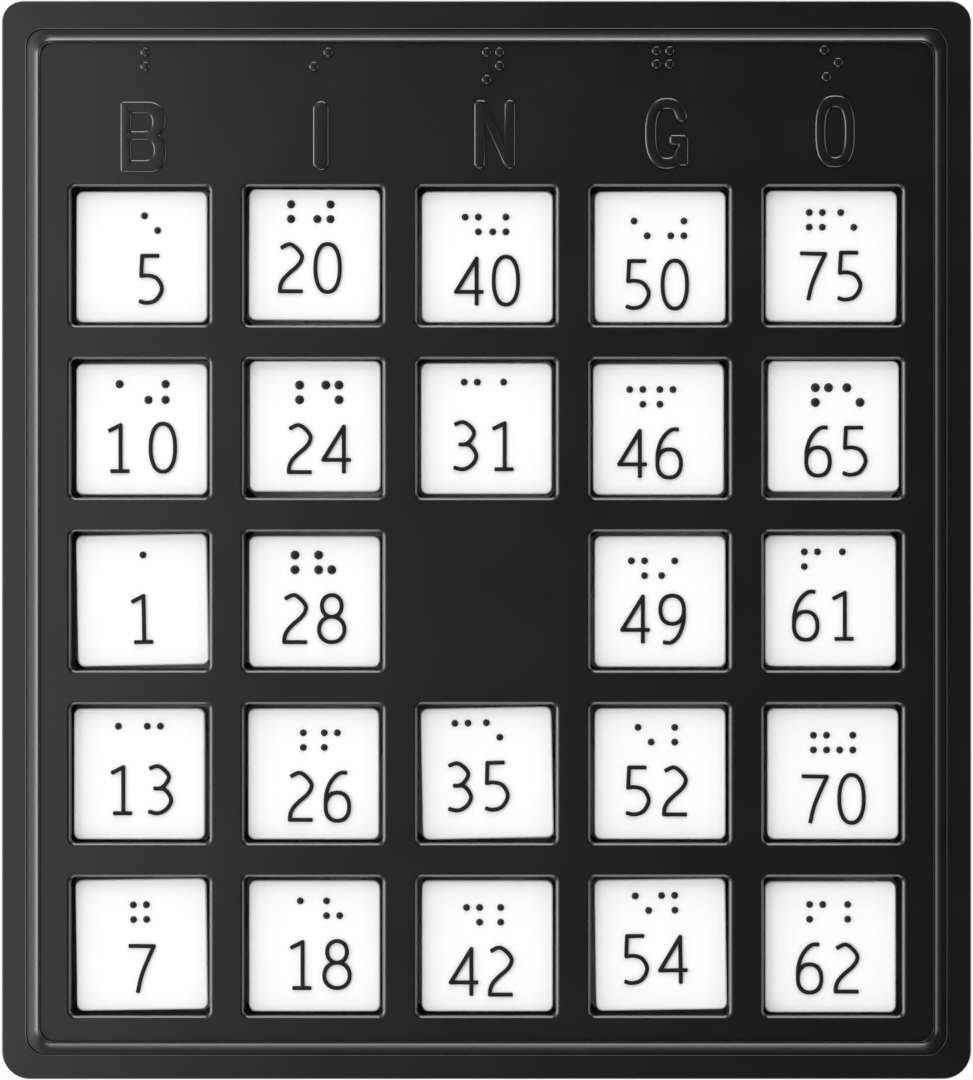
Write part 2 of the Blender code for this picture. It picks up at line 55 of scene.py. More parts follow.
WHITE_LIGHT = (1.0, 1.0, 1.0, 1.0)

Point = tuple[float, float]
Loop = list[Point]


class Slot(Enum):
    """The record's material slots."""

    BLACK = "black_plastic"
    BACK = "back_plastic"
    WHITE = "white_plastic"
    STEEL = "zinc_steel"
    RUBBER = "black_rubber"


class Joinery(Enum):
    """How a blank meets the piece that it is set into."""

    JOIN = "UNION"
    CUT = "DIFFERENCE"


class End(Enum):
    """How a printed stroke ends: in a half disc, or square with its corners eased."""

    ROUND = "round"
    SQUARE = "square"


@dataclass(frozen=True)
class Layout:
    """Sizes that the pieces share, in metres. The solids have all of them but header_rim_extra."""

    gap: float = 0.3 * MM
    tile_side: float = 25.0 * MM
    tile_play: float = 0.6 * MM
    column_bar: float = 6.7 * MM
    row_bar: float = 6.6 * MM
    side_margin: float = 5.9 * MM
    header_margin: float = 28.05 * MM
    bottom_margin: float = 4.85 * MM
    rim_width: float = 4.9 * MM
    header_rim_extra: float = 0.7 * MM
    ridge_width: float = 2.5 * MM
    frame_wall: float = 1.8 * MM
    upper_corner: float = 4.2 * MM
    lower_corner: float = 5.6 * MM
    plate_corner: float = 2.5 * MM
    plate_top: float = 14.0 * MM
    plate_bottom: float = 12.0 * MM
    crest_top: float = 14.6 * MM
    rim_top: float = 13.7 * MM
    ledge_top: float = 11.7 * MM
    sleeve_bottom: float = 6.7 * MM
    flange_bottom: float = 5.4 * MM
    tile_height: float = 7.0 * MM
    cover_bottom: float = 1.0 * MM
    cover_top: float = 2.6 * MM
    foot_recess: float = 0.6 * MM
    numbers: tuple[tuple[int | None, ...], ...] = (
        (5, 20, 40, 50, 75),
        (10, 24, 31, 46, 65),
        (1, 28, None, 49, 61),
        (13, 26, 35, 52, 70),
        (7, 18, 42, 54, 62),
    )

    @property
    def rows(self) -> int:
        """How many rows of places the grid has."""
        return len(self.numbers)

    @property
    def columns(self) -> int:
        """How many columns of places the grid has."""
        return len(self.numbers[0])

    @property
    def window_side(self) -> float:
        """The clear width of a window."""
        return self.tile_side + 2 * self.tile_play

    @property
    def column_pitch(self) -> float:
        """From one column's middle to the next."""
        return self.window_side + self.column_bar

    @property
    def row_pitch(self) -> float:
        """From one row's middle to the next."""
        return self.window_side + self.row_bar

    @property
    def grid_centre_y(self) -> float:
        """Where the middle of the grid lies along Y."""
        return (self.bottom_margin - self.header_margin) / 2

    @property
    def plate_width(self) -> float:
        """The face plate's size along X."""
        return self.columns * self.column_pitch - self.column_bar + 2 * self.side_margin

    @property
    def plate_depth(self) -> float:
        """The face plate's size along Y."""
        windows = self.rows * self.row_pitch - self.row_bar
        return windows + self.header_margin + self.bottom_margin

    @property
    def frame_margin(self) -> float:
        """From the board's edge to the frame's opening."""
        return self.rim_width + self.ridge_width

    @property
    def board_width(self) -> float:
        """The whole board's size along X."""
        return self.plate_width + 2 * self.gap + 2 * self.frame_margin

    @property
    def board_depth(self) -> float:
        """The whole board's size along Y."""
        return self.plate_depth + 2 * self.gap + 2 * self.frame_margin

    def cell_centre(self, row: int, column: int) -> Point:
        """Where a place of the grid lies.

        Args:
            row: Row, counted from the header down.
            column: Column, counted from the left.

        Returns:
            X and Y of its middle.
        """
        x = (column - (self.columns - 1) / 2) * self.column_pitch
        y = self.grid_centre_y - (row - (self.rows - 1) / 2) * self.row_pitch
        return x, y

    def numbered_cells(self) -> dict[int, Point]:
        """Each number with the middle of its place.

        Returns:
            Numbers and places, in reading order.
        """
        cells = {}
        for row, numbers in enumerate(self.numbers):
            for column, number in enumerate(numbers):
                if number is not None:
                    cells[number] = self.cell_centre(row, column)
        return cells

    def grid_inputs(self) -> dict[str, object]:
        """The grid's part of what the panel tree asks for."""
        row, column = self.free_place()
        return {
            "Columns": self.columns,
            "Rows": self.rows,
            "Column Pitch": self.column_pitch,
            "Row Pitch": self.row_pitch,
            "Grid Centre Y": self.grid_centre_y,
            "Free Place": column * self.rows + row,
        }

    def free_place(self) -> tuple[int, int]:
        """Row and column of the place with no number."""
        for row, numbers in enumerate(self.numbers):
            if None in numbers:
                return row, numbers.index(None)
        raise ValueError("the grid has no free place")

    def screw_places(self, header_inset: float = 12.0 * MM) -> list[Point]:
        """Four crossings of the bars, two places in the header, and the middle of the free place.

        Args:
            header_inset: From the plate's edges to a header screw.

        Returns:
            X and Y of each screw.
        """
        reach_x = (self.columns / 2 - 1) * self.column_pitch
        reach_y = (self.rows / 2 - 1) * self.row_pitch
        places = [(x * reach_x, self.grid_centre_y + y * reach_y) for y in (1, -1) for x in (-1, 1)]
        header_y = self.plate_depth / 2 - header_inset
        places += [(x * (self.plate_width / 2 - header_inset), header_y) for x in (-1, 1)]
        places.append(self.cell_centre(*self.free_place()))
        return places

    def foot_places(self, inset: float = 8.4 * MM) -> list[Point]:
        """The middles of the four feet.

        Args:
            inset: From the frame's inner wall to a foot's middle.

        Returns:
            X and Y of each foot.
        """
        reach_x = self.board_width / 2 - self.frame_wall - inset
        reach_y = self.board_depth / 2 - self.frame_wall - inset
        return [(x * reach_x, y * reach_y) for y in (-1, 1) for x in (-1, 1)]


@dataclass(frozen=True)
class Section:
    """A level rounded rectangle; its upper and lower corners have their own radii.

    The upper trim draws its upper side in by itself.
    """

    width: float
    depth: float
    z: float
    upper_radius: float
    lower_radius: float
    upper_trim: float = 0.0

    def loop(self, steps: int) -> Loop:
        """The section's points, counter-clockwise.

        Args:
            steps: Steps round each corner.

        Returns:
            Points in the plane.
        """
        corners = (
            (1, 1, self.upper_radius),
            (-1, 1, self.upper_radius),
            (-1, -1, self.lower_radius),
            (1, -1, self.lower_radius),
        )
        points = []
        for quarter, (side_x, side_y, radius) in enumerate(corners):
            centre_x = side_x * (self.width / 2 - radius)
            centre_y = side_y * (self.depth / 2 - radius) - (self.upper_trim if side_y > 0 else 0)
            for step in range(steps + 1):
                angle = math.radians(90 * (quarter + step / steps))
                points.append((centre_x + radius * math.cos(angle), centre_y + radius * math.sin(angle)))
        return points


def square(side: float, z: float, radius: float) -> Section:
    """A square section with four equal corners."""
    return Section(side, side, z, radius, radius)


def quarter_arc(steps: int) -> list[Point]:
    """Cosine and sine at equal steps over a quarter turn."""
    angles = [math.pi / 2 * step / steps for step in range(steps + 1)]
    return [(math.cos(angle), math.sin(angle)) for angle in angles]


def superoval_point(angle: float, power: float) -> Point:
    """A point of an oval of unit radii that is fuller than a circle where its power is over two."""
    cosine, sine = math.cos(angle), math.sin(angle)
    x = math.copysign(abs(cosine) ** (2 / power), cosine)
    y = math.copysign(abs(sine) ** (2 / power), sine)
    return x, y


def superoval(middle: Point, radii: Point, power: float, steps: int = 48) -> Loop:
    """Points of a full oval.

    Args:
        middle: Its middle.
        radii: Its reach along X and Y.
        power: Its power.
        steps: Steps round it.

    Returns:
        Points, counter-clockwise.
    """
    points = []
    for step in range(steps):
        x, y = superoval_point(2 * math.pi * step / steps, power)
        points.append((middle[0] + radii[0] * x, middle[1] + radii[1] * y))
    return points


class Workshop:
    """Mesh tools that every piece is made with."""

    CREASE = math.radians(32)
    FACE_WEIGHT = 100

    @staticmethod
    def object_for(name: str, mesh: bpy.types.Mesh) -> bpy.types.Object:
        """A linked object at the origin for a mesh."""
        piece = bpy.data.objects.new(name, mesh)
        bpy.context.scene.collection.objects.link(piece)
        return piece

    @staticmethod
    def mesh_from(name: str, bm: bmesh.types.BMesh) -> bpy.types.Mesh:
        """A mesh from a bmesh, with its faces pointing out."""
        bmesh.ops.recalc_face_normals(bm, faces=bm.faces)
        mesh = bpy.data.meshes.new(name)
        bm.to_mesh(mesh)
        bm.free()
        return mesh

    @classmethod
    def loft(cls, name: str, sections: list[Section], steps: int, ring: bool = False) -> bpy.types.Object:
        """Skin sections in order.

        Args:
            name: The object's name.
            sections: Sections from one end to the other.
            steps: Steps round each corner.
            ring: Whether the last section joins the first, in place of flat ends.

        Returns:
            The lofted object.
        """
        bm = bmesh.new()
        loops = [[bm.verts.new((x, y, section.z)) for x, y in section.loop(steps)] for section in sections]
        pairs = list(zip(loops, loops[1:]))
        if ring:
            pairs.append((loops[-1], loops[0]))
        for lower, upper in pairs:
            for index, corner in enumerate(lower):
                after = (index + 1) % len(lower)
                bm.faces.new((corner, lower[after], upper[after], upper[index]))
        if not ring:
            bm.faces.new(loops[0])
            bm.faces.new(loops[-1])
        return cls.object_for(name, cls.mesh_from(name, bm))

    @classmethod
    def lathe(cls, name: str, profile: list[Point], steps: int) -> bpy.types.Object:
        """Turn a profile about Z.

        Args:
            name: The object's name.
            profile: (radius, height) points from the axis back to the axis.
            steps: Steps round the turn.

        Returns:
            The turned object, closed at both poles.
        """
        bm = bmesh.new()
        rings = []
        for radius, height in profile:
            if radius == 0:
                rings.append([bm.verts.new((0, 0, height))])
                continue
            angles = [2 * math.pi * step / steps for step in range(steps)]
            rings.append([bm.verts.new((radius * math.cos(a), radius * math.sin(a), height)) for a in angles])
        for lower, upper in zip(rings, rings[1:]):
            for step in range(steps):
                after = (step + 1) % steps
                corners = [lower[step % len(lower)], lower[after % len(lower)]]
                corners += [upper[after % len(upper)], upper[step % len(upper)]]
                bm.faces.new(list(dict.fromkeys(corners)))
        return cls.object_for(name, cls.mesh_from(name, bm))

    @classmethod
    def drum(cls, name: str, radius: float, top: float, bottom: float, steps: int) -> bpy.types.Object:
        """A plain round blank about Z."""
        return cls.lathe(name, [(0, top), (radius, top), (radius, bottom), (0, bottom)], steps)

    @classmethod
    def prism(
        cls, name: str, outline: Loop, low: float, high: float, upright: bool = False
    ) -> bpy.types.Object:
        """Extrude an outline.

        Args:
            name: The object's name.
            outline: Points of the outline, in X and Y, or in X and Z where the prism is upright.
            low: Where the prism starts, along Z or Y.
            high: Where it ends.
            upright: Whether the outline stands in the XZ plane.

        Returns:
            The closed prism.
        """
        bm = bmesh.new()
        ends = []
        for reach in (low, high):
            points = [(a, reach, b) if upright else (a, b, reach) for a, b in outline]
            ends.append([bm.verts.new(point) for point in points])
        near, far = ends
        for index, corner in enumerate(near):
            after = (index + 1) % len(near)
            bm.faces.new((corner, near[after], far[after], far[index]))
        bm.faces.new(near)
        bm.faces.new(far)
        return cls.object_for(name, cls.mesh_from(name, bm))

    @classmethod
    def places(cls, name: str, points: list[Point], z: float = 0.0) -> bpy.types.Object:
        """Loose points for a node tree to set things at."""
        mesh = bpy.data.meshes.new(name)
        mesh.from_pydata([(x, y, z) for x, y in points], [], [])
        return cls.object_for(name, mesh)

    @staticmethod
    def discard(*pieces: bpy.types.Object) -> None:
        """Remove blanks that have done their work."""
        for piece in pieces:
            bpy.data.objects.remove(piece)

    @staticmethod
    def applied(piece: bpy.types.Object) -> bpy.types.Object:
        """Turn a piece's modifiers into plain mesh.

        Args:
            piece: A piece with live modifiers.

        Returns:
            The same piece, with none left.
        """
        bpy.context.view_layer.update()
        depsgraph = bpy.context.evaluated_depsgraph_get()
        mesh = bpy.data.meshes.new_from_object(piece.evaluated_get(depsgraph))
        piece.modifiers.clear()
        piece.data = mesh
        mesh.name = piece.name
        return piece

    @classmethod
    def joined(cls, name: str, pattern: bpy.types.Object, matrices: list[Matrix]) -> bpy.types.Object:
        """One object that holds a pattern at each matrix; the pattern itself goes."""
        bm = bmesh.new()
        for matrix in matrices:
            copy = pattern.data.copy()
            copy.transform(matrix)
            bm.from_mesh(copy)
            bpy.data.meshes.remove(copy)
        cls.discard(pattern)
        return cls.object_for(name, cls.mesh_from(name, bm))

    @classmethod
    def fit(cls, piece: bpy.types.Object, tool: bpy.types.Object, joinery: Joinery) -> None:
        """Join or cut a tool into a piece at once, and remove the tool."""
        modifier = piece.modifiers.new("fit", "BOOLEAN")
        modifier.operation = joinery.value
        modifier.solver = "EXACT"
        modifier.object = tool
        cls.applied(piece)
        cls.discard(tool)

    @classmethod
    def shaded(cls, piece: bpy.types.Object) -> bpy.types.Object:
        """Smooth the rounded edges of a piece and keep its flats flat.

        Args:
            piece: A piece with no live modifiers.

        Returns:
            The same piece with its normals settled.
        """
        piece.data.shade_smooth()
        piece.data.set_sharp_from_angle(angle=cls.CREASE)
        weighted = piece.modifiers.new("flat_faces", "WEIGHTED_NORMAL")
        weighted.keep_sharp = True
        weighted.weight = cls.FACE_WEIGHT
        return cls.applied(piece)


class TreeBuilder:
    """Adds nodes to a tree, sets their sockets and links them."""

    def __init__(self, tree: bpy.types.NodeTree) -> None:
        self.tree = tree

    def add(
        self, kind: str, inputs: dict[str | int, object] | None = None, **settings: object
    ) -> bpy.types.Node:
        """Add one node.

        Args:
            kind: The node's type.
            inputs: Values or output sockets, by input name or number.
            **settings: The node's own options.

        Returns:
            The new node.
        """
        node = self.tree.nodes.new(kind)
        for option, value in settings.items():
            setattr(node, option, value)
        for key, value in (inputs or {}).items():
            self.feed(node.inputs[key], value)
        return node

    def feed(self, socket: bpy.types.NodeSocket, value: object) -> None:
        """Link an output socket to an input, or set the input's own value."""
        if isinstance(value, bpy.types.NodeSocket):
            self.tree.links.new(value, socket)
        else:
            socket.default_value = value

    def maths(self, operation: str, *values: object) -> bpy.types.NodeSocket:
        """The result of a Math node on one or two values."""
        return self.add("ShaderNodeMath", dict(enumerate(values)), operation=operation).outputs[0]


class GeometryTree:
    """A Geometry Nodes tree with named inputs, and the modifier that runs it on a piece."""

    SOCKETS = {
        float: "NodeSocketFloat",
        int: "NodeSocketInt",
        bpy.types.Object: "NodeSocketObject",
        bpy.types.Material: "NodeSocketMaterial",
    }

    def __init__(self, name: str, inputs: dict[str, type]) -> None:
        self.tree = bpy.data.node_groups.new(name, "GeometryNodeTree")
        self.tree.interface.new_socket("Geometry", in_out="INPUT", socket_type="NodeSocketGeometry")
        for label, kind in inputs.items():
            self.tree.interface.new_socket(label, in_out="INPUT", socket_type=self.SOCKETS[kind])
        self.tree.interface.new_socket("Geometry", in_out="OUTPUT", socket_type="NodeSocketGeometry")
        self.build = TreeBuilder(self.tree)
        self.source = self.build.add("NodeGroupInput").outputs

    def shape_of(self, label: str) -> bpy.types.NodeSocket:
        """The geometry of the object given to a named input."""
        return self.build.add("GeometryNodeObjectInfo", {"Object": self.source[label]}).outputs["Geometry"]

    def instances(
        self, points: bpy.types.NodeSocket, pattern: bpy.types.NodeSocket, **inputs: object
    ) -> bpy.types.NodeSocket:
        """Set a pattern at every point."""
        return self.build.add(
            "GeometryNodeInstanceOnPoints", {"Points": points, "Instance": pattern, **inputs}
        ).outputs[0]

    def end_with(self, geometry: bpy.types.NodeSocket, finish: bpy.types.NodeSocket) -> None:
        """Realize what is left of the instances, dress it, and close the tree."""
        plain = self.build.add("GeometryNodeRealizeInstances", {"Geometry": geometry}).outputs[0]
        dressed = self.build.add("GeometryNodeSetMaterial", {"Geometry": plain, "Material": finish})
        self.build.add("NodeGroupOutput", {0: dressed.outputs[0]})

    def run_on(self, piece: bpy.types.Object, values: dict[str, object]) -> bpy.types.Object:
        """Run the tree on a piece and keep the result as its plain mesh.

        Args:
            piece: The piece that carries the geometry.
            values: A value for each named input.

        Returns:
            The piece, with no live modifier.
        """
        modifier = piece.modifiers.new(self.tree.name, "NODES")
        modifier.node_group = self.tree
        for item in self.tree.interface.items_tree:
            if item.in_out == "INPUT" and item.name in values:
                modifier[item.identifier] = values[item.name]
        return Workshop.applied(piece)


class PanelTree(GeometryTree):
    """Openings on a grid that leaves one place out, and bosses, bores and recesses at loose places."""

    def __init__(self) -> None:
        super().__init__(
            "windowed_panel",
            {
                "Columns": int,
                "Rows": int,
                "Column Pitch": float,
                "Row Pitch": float,
                "Grid Centre Y": float,
                "Free Place": int,
                "Sleeve": bpy.types.Object,
                "Opening": bpy.types.Object,
                "Screw Places": bpy.types.Object,
                "Boss": bpy.types.Object,
                "Bore": bpy.types.Object,
                "Foot Places": bpy.types.Object,
                "Recess": bpy.types.Object,
                "Finish": bpy.types.Material,
            },
        )
        grid = self.cells()
        screws = self.shape_of("Screw Places")
        feet = self.shape_of("Foot Places")
        backing = self.build.add("GeometryNodeMeshBoolean", operation=Joinery.JOIN.value, solver="EXACT")
        joined = (
            self.source["Geometry"],
            self.instances(grid, self.shape_of("Sleeve")),
            self.instances(screws, self.shape_of("Boss")),
        )
        for part in joined:
            self.build.feed(backing.inputs["Mesh 2"], part)
        holes = self.build.add("GeometryNodeMeshBoolean", operation=Joinery.CUT.value, solver="EXACT")
        self.build.feed(holes.inputs["Mesh 1"], backing.outputs["Mesh"])
        removed = (
            self.instances(grid, self.shape_of("Opening")),
            self.instances(screws, self.shape_of("Bore")),
            self.instances(feet, self.shape_of("Recess")),
        )
        for part in removed:
            self.build.feed(holes.inputs["Mesh 2"], part)
        self.end_with(holes.outputs["Mesh"], self.source["Finish"])

    def cells(self) -> bpy.types.NodeSocket:
        """Points at the middles of the numbered places."""
        spans = []
        for count, pitch in (("Columns", "Column Pitch"), ("Rows", "Row Pitch")):
            steps = self.build.maths("SUBTRACT", self.source[count], 1.0)
            spans.append(self.build.maths("MULTIPLY", steps, self.source[pitch]))
        grid = self.build.add(
            "GeometryNodeMeshGrid",
            {
                "Size X": spans[0],
                "Size Y": spans[1],
                "Vertices X": self.source["Columns"],
                "Vertices Y": self.source["Rows"],
            },
        )
        free = self.build.add("FunctionNodeCompare", data_type="INT", operation="EQUAL")
        integer_inputs = [socket for socket in free.inputs if socket.type == "INT"]
        self.build.feed(integer_inputs[0], self.build.add("GeometryNodeInputIndex").outputs[0])
        self.build.feed(integer_inputs[1], self.source["Free Place"])
        kept = self.build.add(
            "GeometryNodeDeleteGeometry",
            {"Geometry": grid.outputs["Mesh"], "Selection": free.outputs[0]},
            domain="POINT",
        )
        shift = self.build.add("ShaderNodeCombineXYZ", {"Y": self.source["Grid Centre Y"]}).outputs[0]
        return self.build.add(
            "GeometryNodeSetPosition", {"Geometry": kept.outputs[0], "Offset": shift}
        ).outputs[0]


class ScatterTree(GeometryTree):
    """The same small shape at each point of the piece."""

    def __init__(self) -> None:
        super().__init__(
            "shape_at_places",
            {"Pattern": bpy.types.Object, "Share Of Size": float, "Finish": bpy.types.Material},
        )
        share = self.source["Share Of Size"]
        scale = self.build.add("ShaderNodeCombineXYZ", {"X": share, "Y": share, "Z": 1.0}).outputs[0]
        placed = self.instances(self.source["Geometry"], self.shape_of("Pattern"), Scale=scale)
        self.end_with(placed, self.source["Finish"])


class ShaderGroup:
    """A shader node group with named inputs and outputs, built once and shared by the finishes."""

    SOCKETS = {float: "NodeSocketFloat", Vector: "NodeSocketVector", tuple: "NodeSocketColor"}

    def __init__(self, name: str, inputs: dict[str, type], outputs: dict[str, type]) -> None:
        self.tree = bpy.data.node_groups.new(name, "ShaderNodeTree")
        for in_out, sockets in (("INPUT", inputs), ("OUTPUT", outputs)):
            for label, kind in sockets.items():
                self.tree.interface.new_socket(label, in_out=in_out, socket_type=self.SOCKETS[kind])
        self.build = TreeBuilder(self.tree)
        self.source = self.build.add("NodeGroupInput").outputs

    def placed_in(self, build: TreeBuilder, values: dict[str, object]) -> bpy.types.Node:
        """Put the group into a material with its own values."""
        node = build.add("ShaderNodeGroup", node_tree=self.tree)
        for label, value in values.items():
            build.feed(node.inputs[label], value)
        return node


class GrainGroup(ShaderGroup):
    """The surface that a mould leaves: a fine spark grain on a slow unevenness, as a height."""

    FINE_DETAIL = 2.0
    SLOW_DETAIL = 1.0

    def __init__(self) -> None:
        super().__init__(
            "moulded_grain",
            {"Vector": Vector, "Grain": float, "Swell": float, "Swell Share": float},
            {"Height": float},
        )
        fine = self.noise(self.build.maths("DIVIDE", 1.0, self.source["Grain"]), self.FINE_DETAIL)
        slow = self.noise(self.build.maths("DIVIDE", 1.0, self.source["Swell"]), self.SLOW_DETAIL)
        weighted = self.build.maths("MULTIPLY", slow, self.source["Swell Share"])
        self.build.add("NodeGroupOutput", {0: self.build.maths("ADD", fine, weighted)})

    def noise(self, scale: bpy.types.NodeSocket, detail: float) -> bpy.types.NodeSocket:
        """One layer of noise at a scale."""
        node = self.build.add(
            "ShaderNodeTexNoise", {"Vector": self.source["Vector"], "Scale": scale, "Detail": detail}
        )
        return node.outputs[0]


class DriftGroup(ShaderGroup):
    """A slow drift of tone and gloss over a surface, as real mouldings have."""

    DETAIL = 3.0
    MIDDLE = 0.5

    def __init__(self) -> None:
        super().__init__(
            "tone_drift",
            {
                "Vector": Vector,
                "Tone": tuple,
                "Tone Drift": float,
                "Gloss": float,
                "Gloss Drift": float,
                "Patch": float,
            },
            {"Color": tuple, "Roughness": float},
        )
        scale = self.build.maths("DIVIDE", 1.0, self.source["Patch"])
        cloud = self.build.add(
            "ShaderNodeTexNoise", {"Vector": self.source["Vector"], "Scale": scale, "Detail": self.DETAIL}
        ).outputs[0]
        centred = self.build.maths("SUBTRACT", cloud, self.MIDDLE)
        lift = self.build.maths("ADD", self.build.maths("MULTIPLY", centred, self.source["Tone Drift"]), 1.0)
        colour = self.build.add(
            "ShaderNodeVectorMath", {0: self.source["Tone"], "Scale": lift}, operation="SCALE"
        ).outputs[0]
        change = self.build.maths("MULTIPLY", centred, self.source["Gloss Drift"])
        gloss = self.build.maths("ADD", self.source["Gloss"], change)
        self.build.add("NodeGroupOutput", {0: colour, 1: gloss})


@dataclass(frozen=True)
class MouldedFinish:
    """A moulded or rubber surface: its tone, its gloss, how both drift, and the grain of its mould."""

    slot: Slot
    tone: tuple[float, float, float]
    roughness: float
    grain: float
    grain_depth: float
    swell: float = 9.0 * MM
    swell_share: float = 3.0
    tone_drift: float = 0.12
    gloss_drift: float = 0.06
    patch: float = 16.0 * MM
    specular: float = 0.5
    metallic: float = 0.0
    label: str = ""

    def material(self, drift: DriftGroup, grain: GrainGroup) -> bpy.types.Material:
        """Build the material.

        Args:
            drift: The shared drift of tone and gloss.
            grain: The shared mould grain.

        Returns:
            The finished material.
        """
        material = bpy.data.materials.new(self.label or self.slot.value)
        material.use_nodes = True
        build = TreeBuilder(material.node_tree)
        shader = material.node_tree.nodes["Principled BSDF"]
        place = build.add("ShaderNodeTexCoord").outputs["Object"]
        tone = drift.placed_in(
            build,
            {
                "Vector": place,
                "Tone": (*self.tone, 1.0),
                "Tone Drift": self.tone_drift,
                "Gloss": self.roughness,
                "Gloss Drift": self.gloss_drift,
                "Patch": self.patch,
            },
        )
        height = grain.placed_in(
            build,
            {
                "Vector": place,
                "Grain": self.grain,
                "Swell": self.swell,
                "Swell Share": self.swell_share,
            },
        )
        bump = build.add("ShaderNodeBump", {"Distance": self.grain_depth, "Height": height.outputs[0]})
        build.feed(shader.inputs["Base Color"], tone.outputs["Color"])
        build.feed(shader.inputs["Roughness"], tone.outputs["Roughness"])
        build.feed(shader.inputs["Normal"], bump.outputs[0])
        shader.inputs["Metallic"].default_value = self.metallic
        shader.inputs["Specular IOR Level"].default_value = self.specular
        return material


class Finishes:
    """Every finish of the board, built once."""

    BLACK = MouldedFinish(
        Slot.BLACK,
        tone=(0.0012, 0.0012, 0.0013),
        roughness=0.31,
        grain=0.22 * MM,
        grain_depth=0.0006 * MM,
        specular=0.8,
    )
    BACK = MouldedFinish(
        Slot.BACK,
        tone=(0.017, 0.017, 0.018),
        roughness=0.55,
        grain=0.35 * MM,
        grain_depth=0.006 * MM,
        swell_share=0.5,
    )
    WHITE = MouldedFinish(
        Slot.WHITE,
        tone=(0.79, 0.79, 0.785),
        roughness=0.38,
        grain=0.25 * MM,
        grain_depth=0.001 * MM,
        tone_drift=0.02,
        patch=30.0 * MM,
    )
    PRINT = MouldedFinish(
        Slot.BLACK,
        tone=(0.003, 0.003, 0.0031),
        roughness=0.5,
        grain=0.12 * MM,
        grain_depth=0.0008 * MM,
        swell_share=1.0,
        specular=0.28,
        label="black_print",
    )
    STEEL = MouldedFinish(
        Slot.STEEL,
        tone=(0.62, 0.62, 0.64),
        roughness=0.32,
        grain=0.08 * MM,
        grain_depth=0.001 * MM,
        swell_share=0.3,
        tone_drift=0.25,
        gloss_drift=0.2,
        patch=1.5 * MM,
        metallic=1.0,
    )
    RUBBER = MouldedFinish(
        Slot.RUBBER,
        tone=(0.021, 0.021, 0.020),
        roughness=0.82,
        grain=0.3 * MM,
        grain_depth=0.008 * MM,
        specular=0.35,
    )

    def __init__(self) -> None:
        drift = DriftGroup()
        grain = GrainGroup()
        named = {
            "black": self.BLACK,
            "back": self.BACK,
            "white": self.WHITE,
            "print": self.PRINT,
            "steel": self.STEEL,
            "rubber": self.RUBBER,
        }
        self.materials = {name: finish.material(drift, grain) for name, finish in named.items()}

    def dress(self, piece: bpy.types.Object, name: str, slot: Slot) -> None:
        """Give a piece one finish."""
        piece.data.materials.clear()
        piece.data.materials.append(self.materials[name])


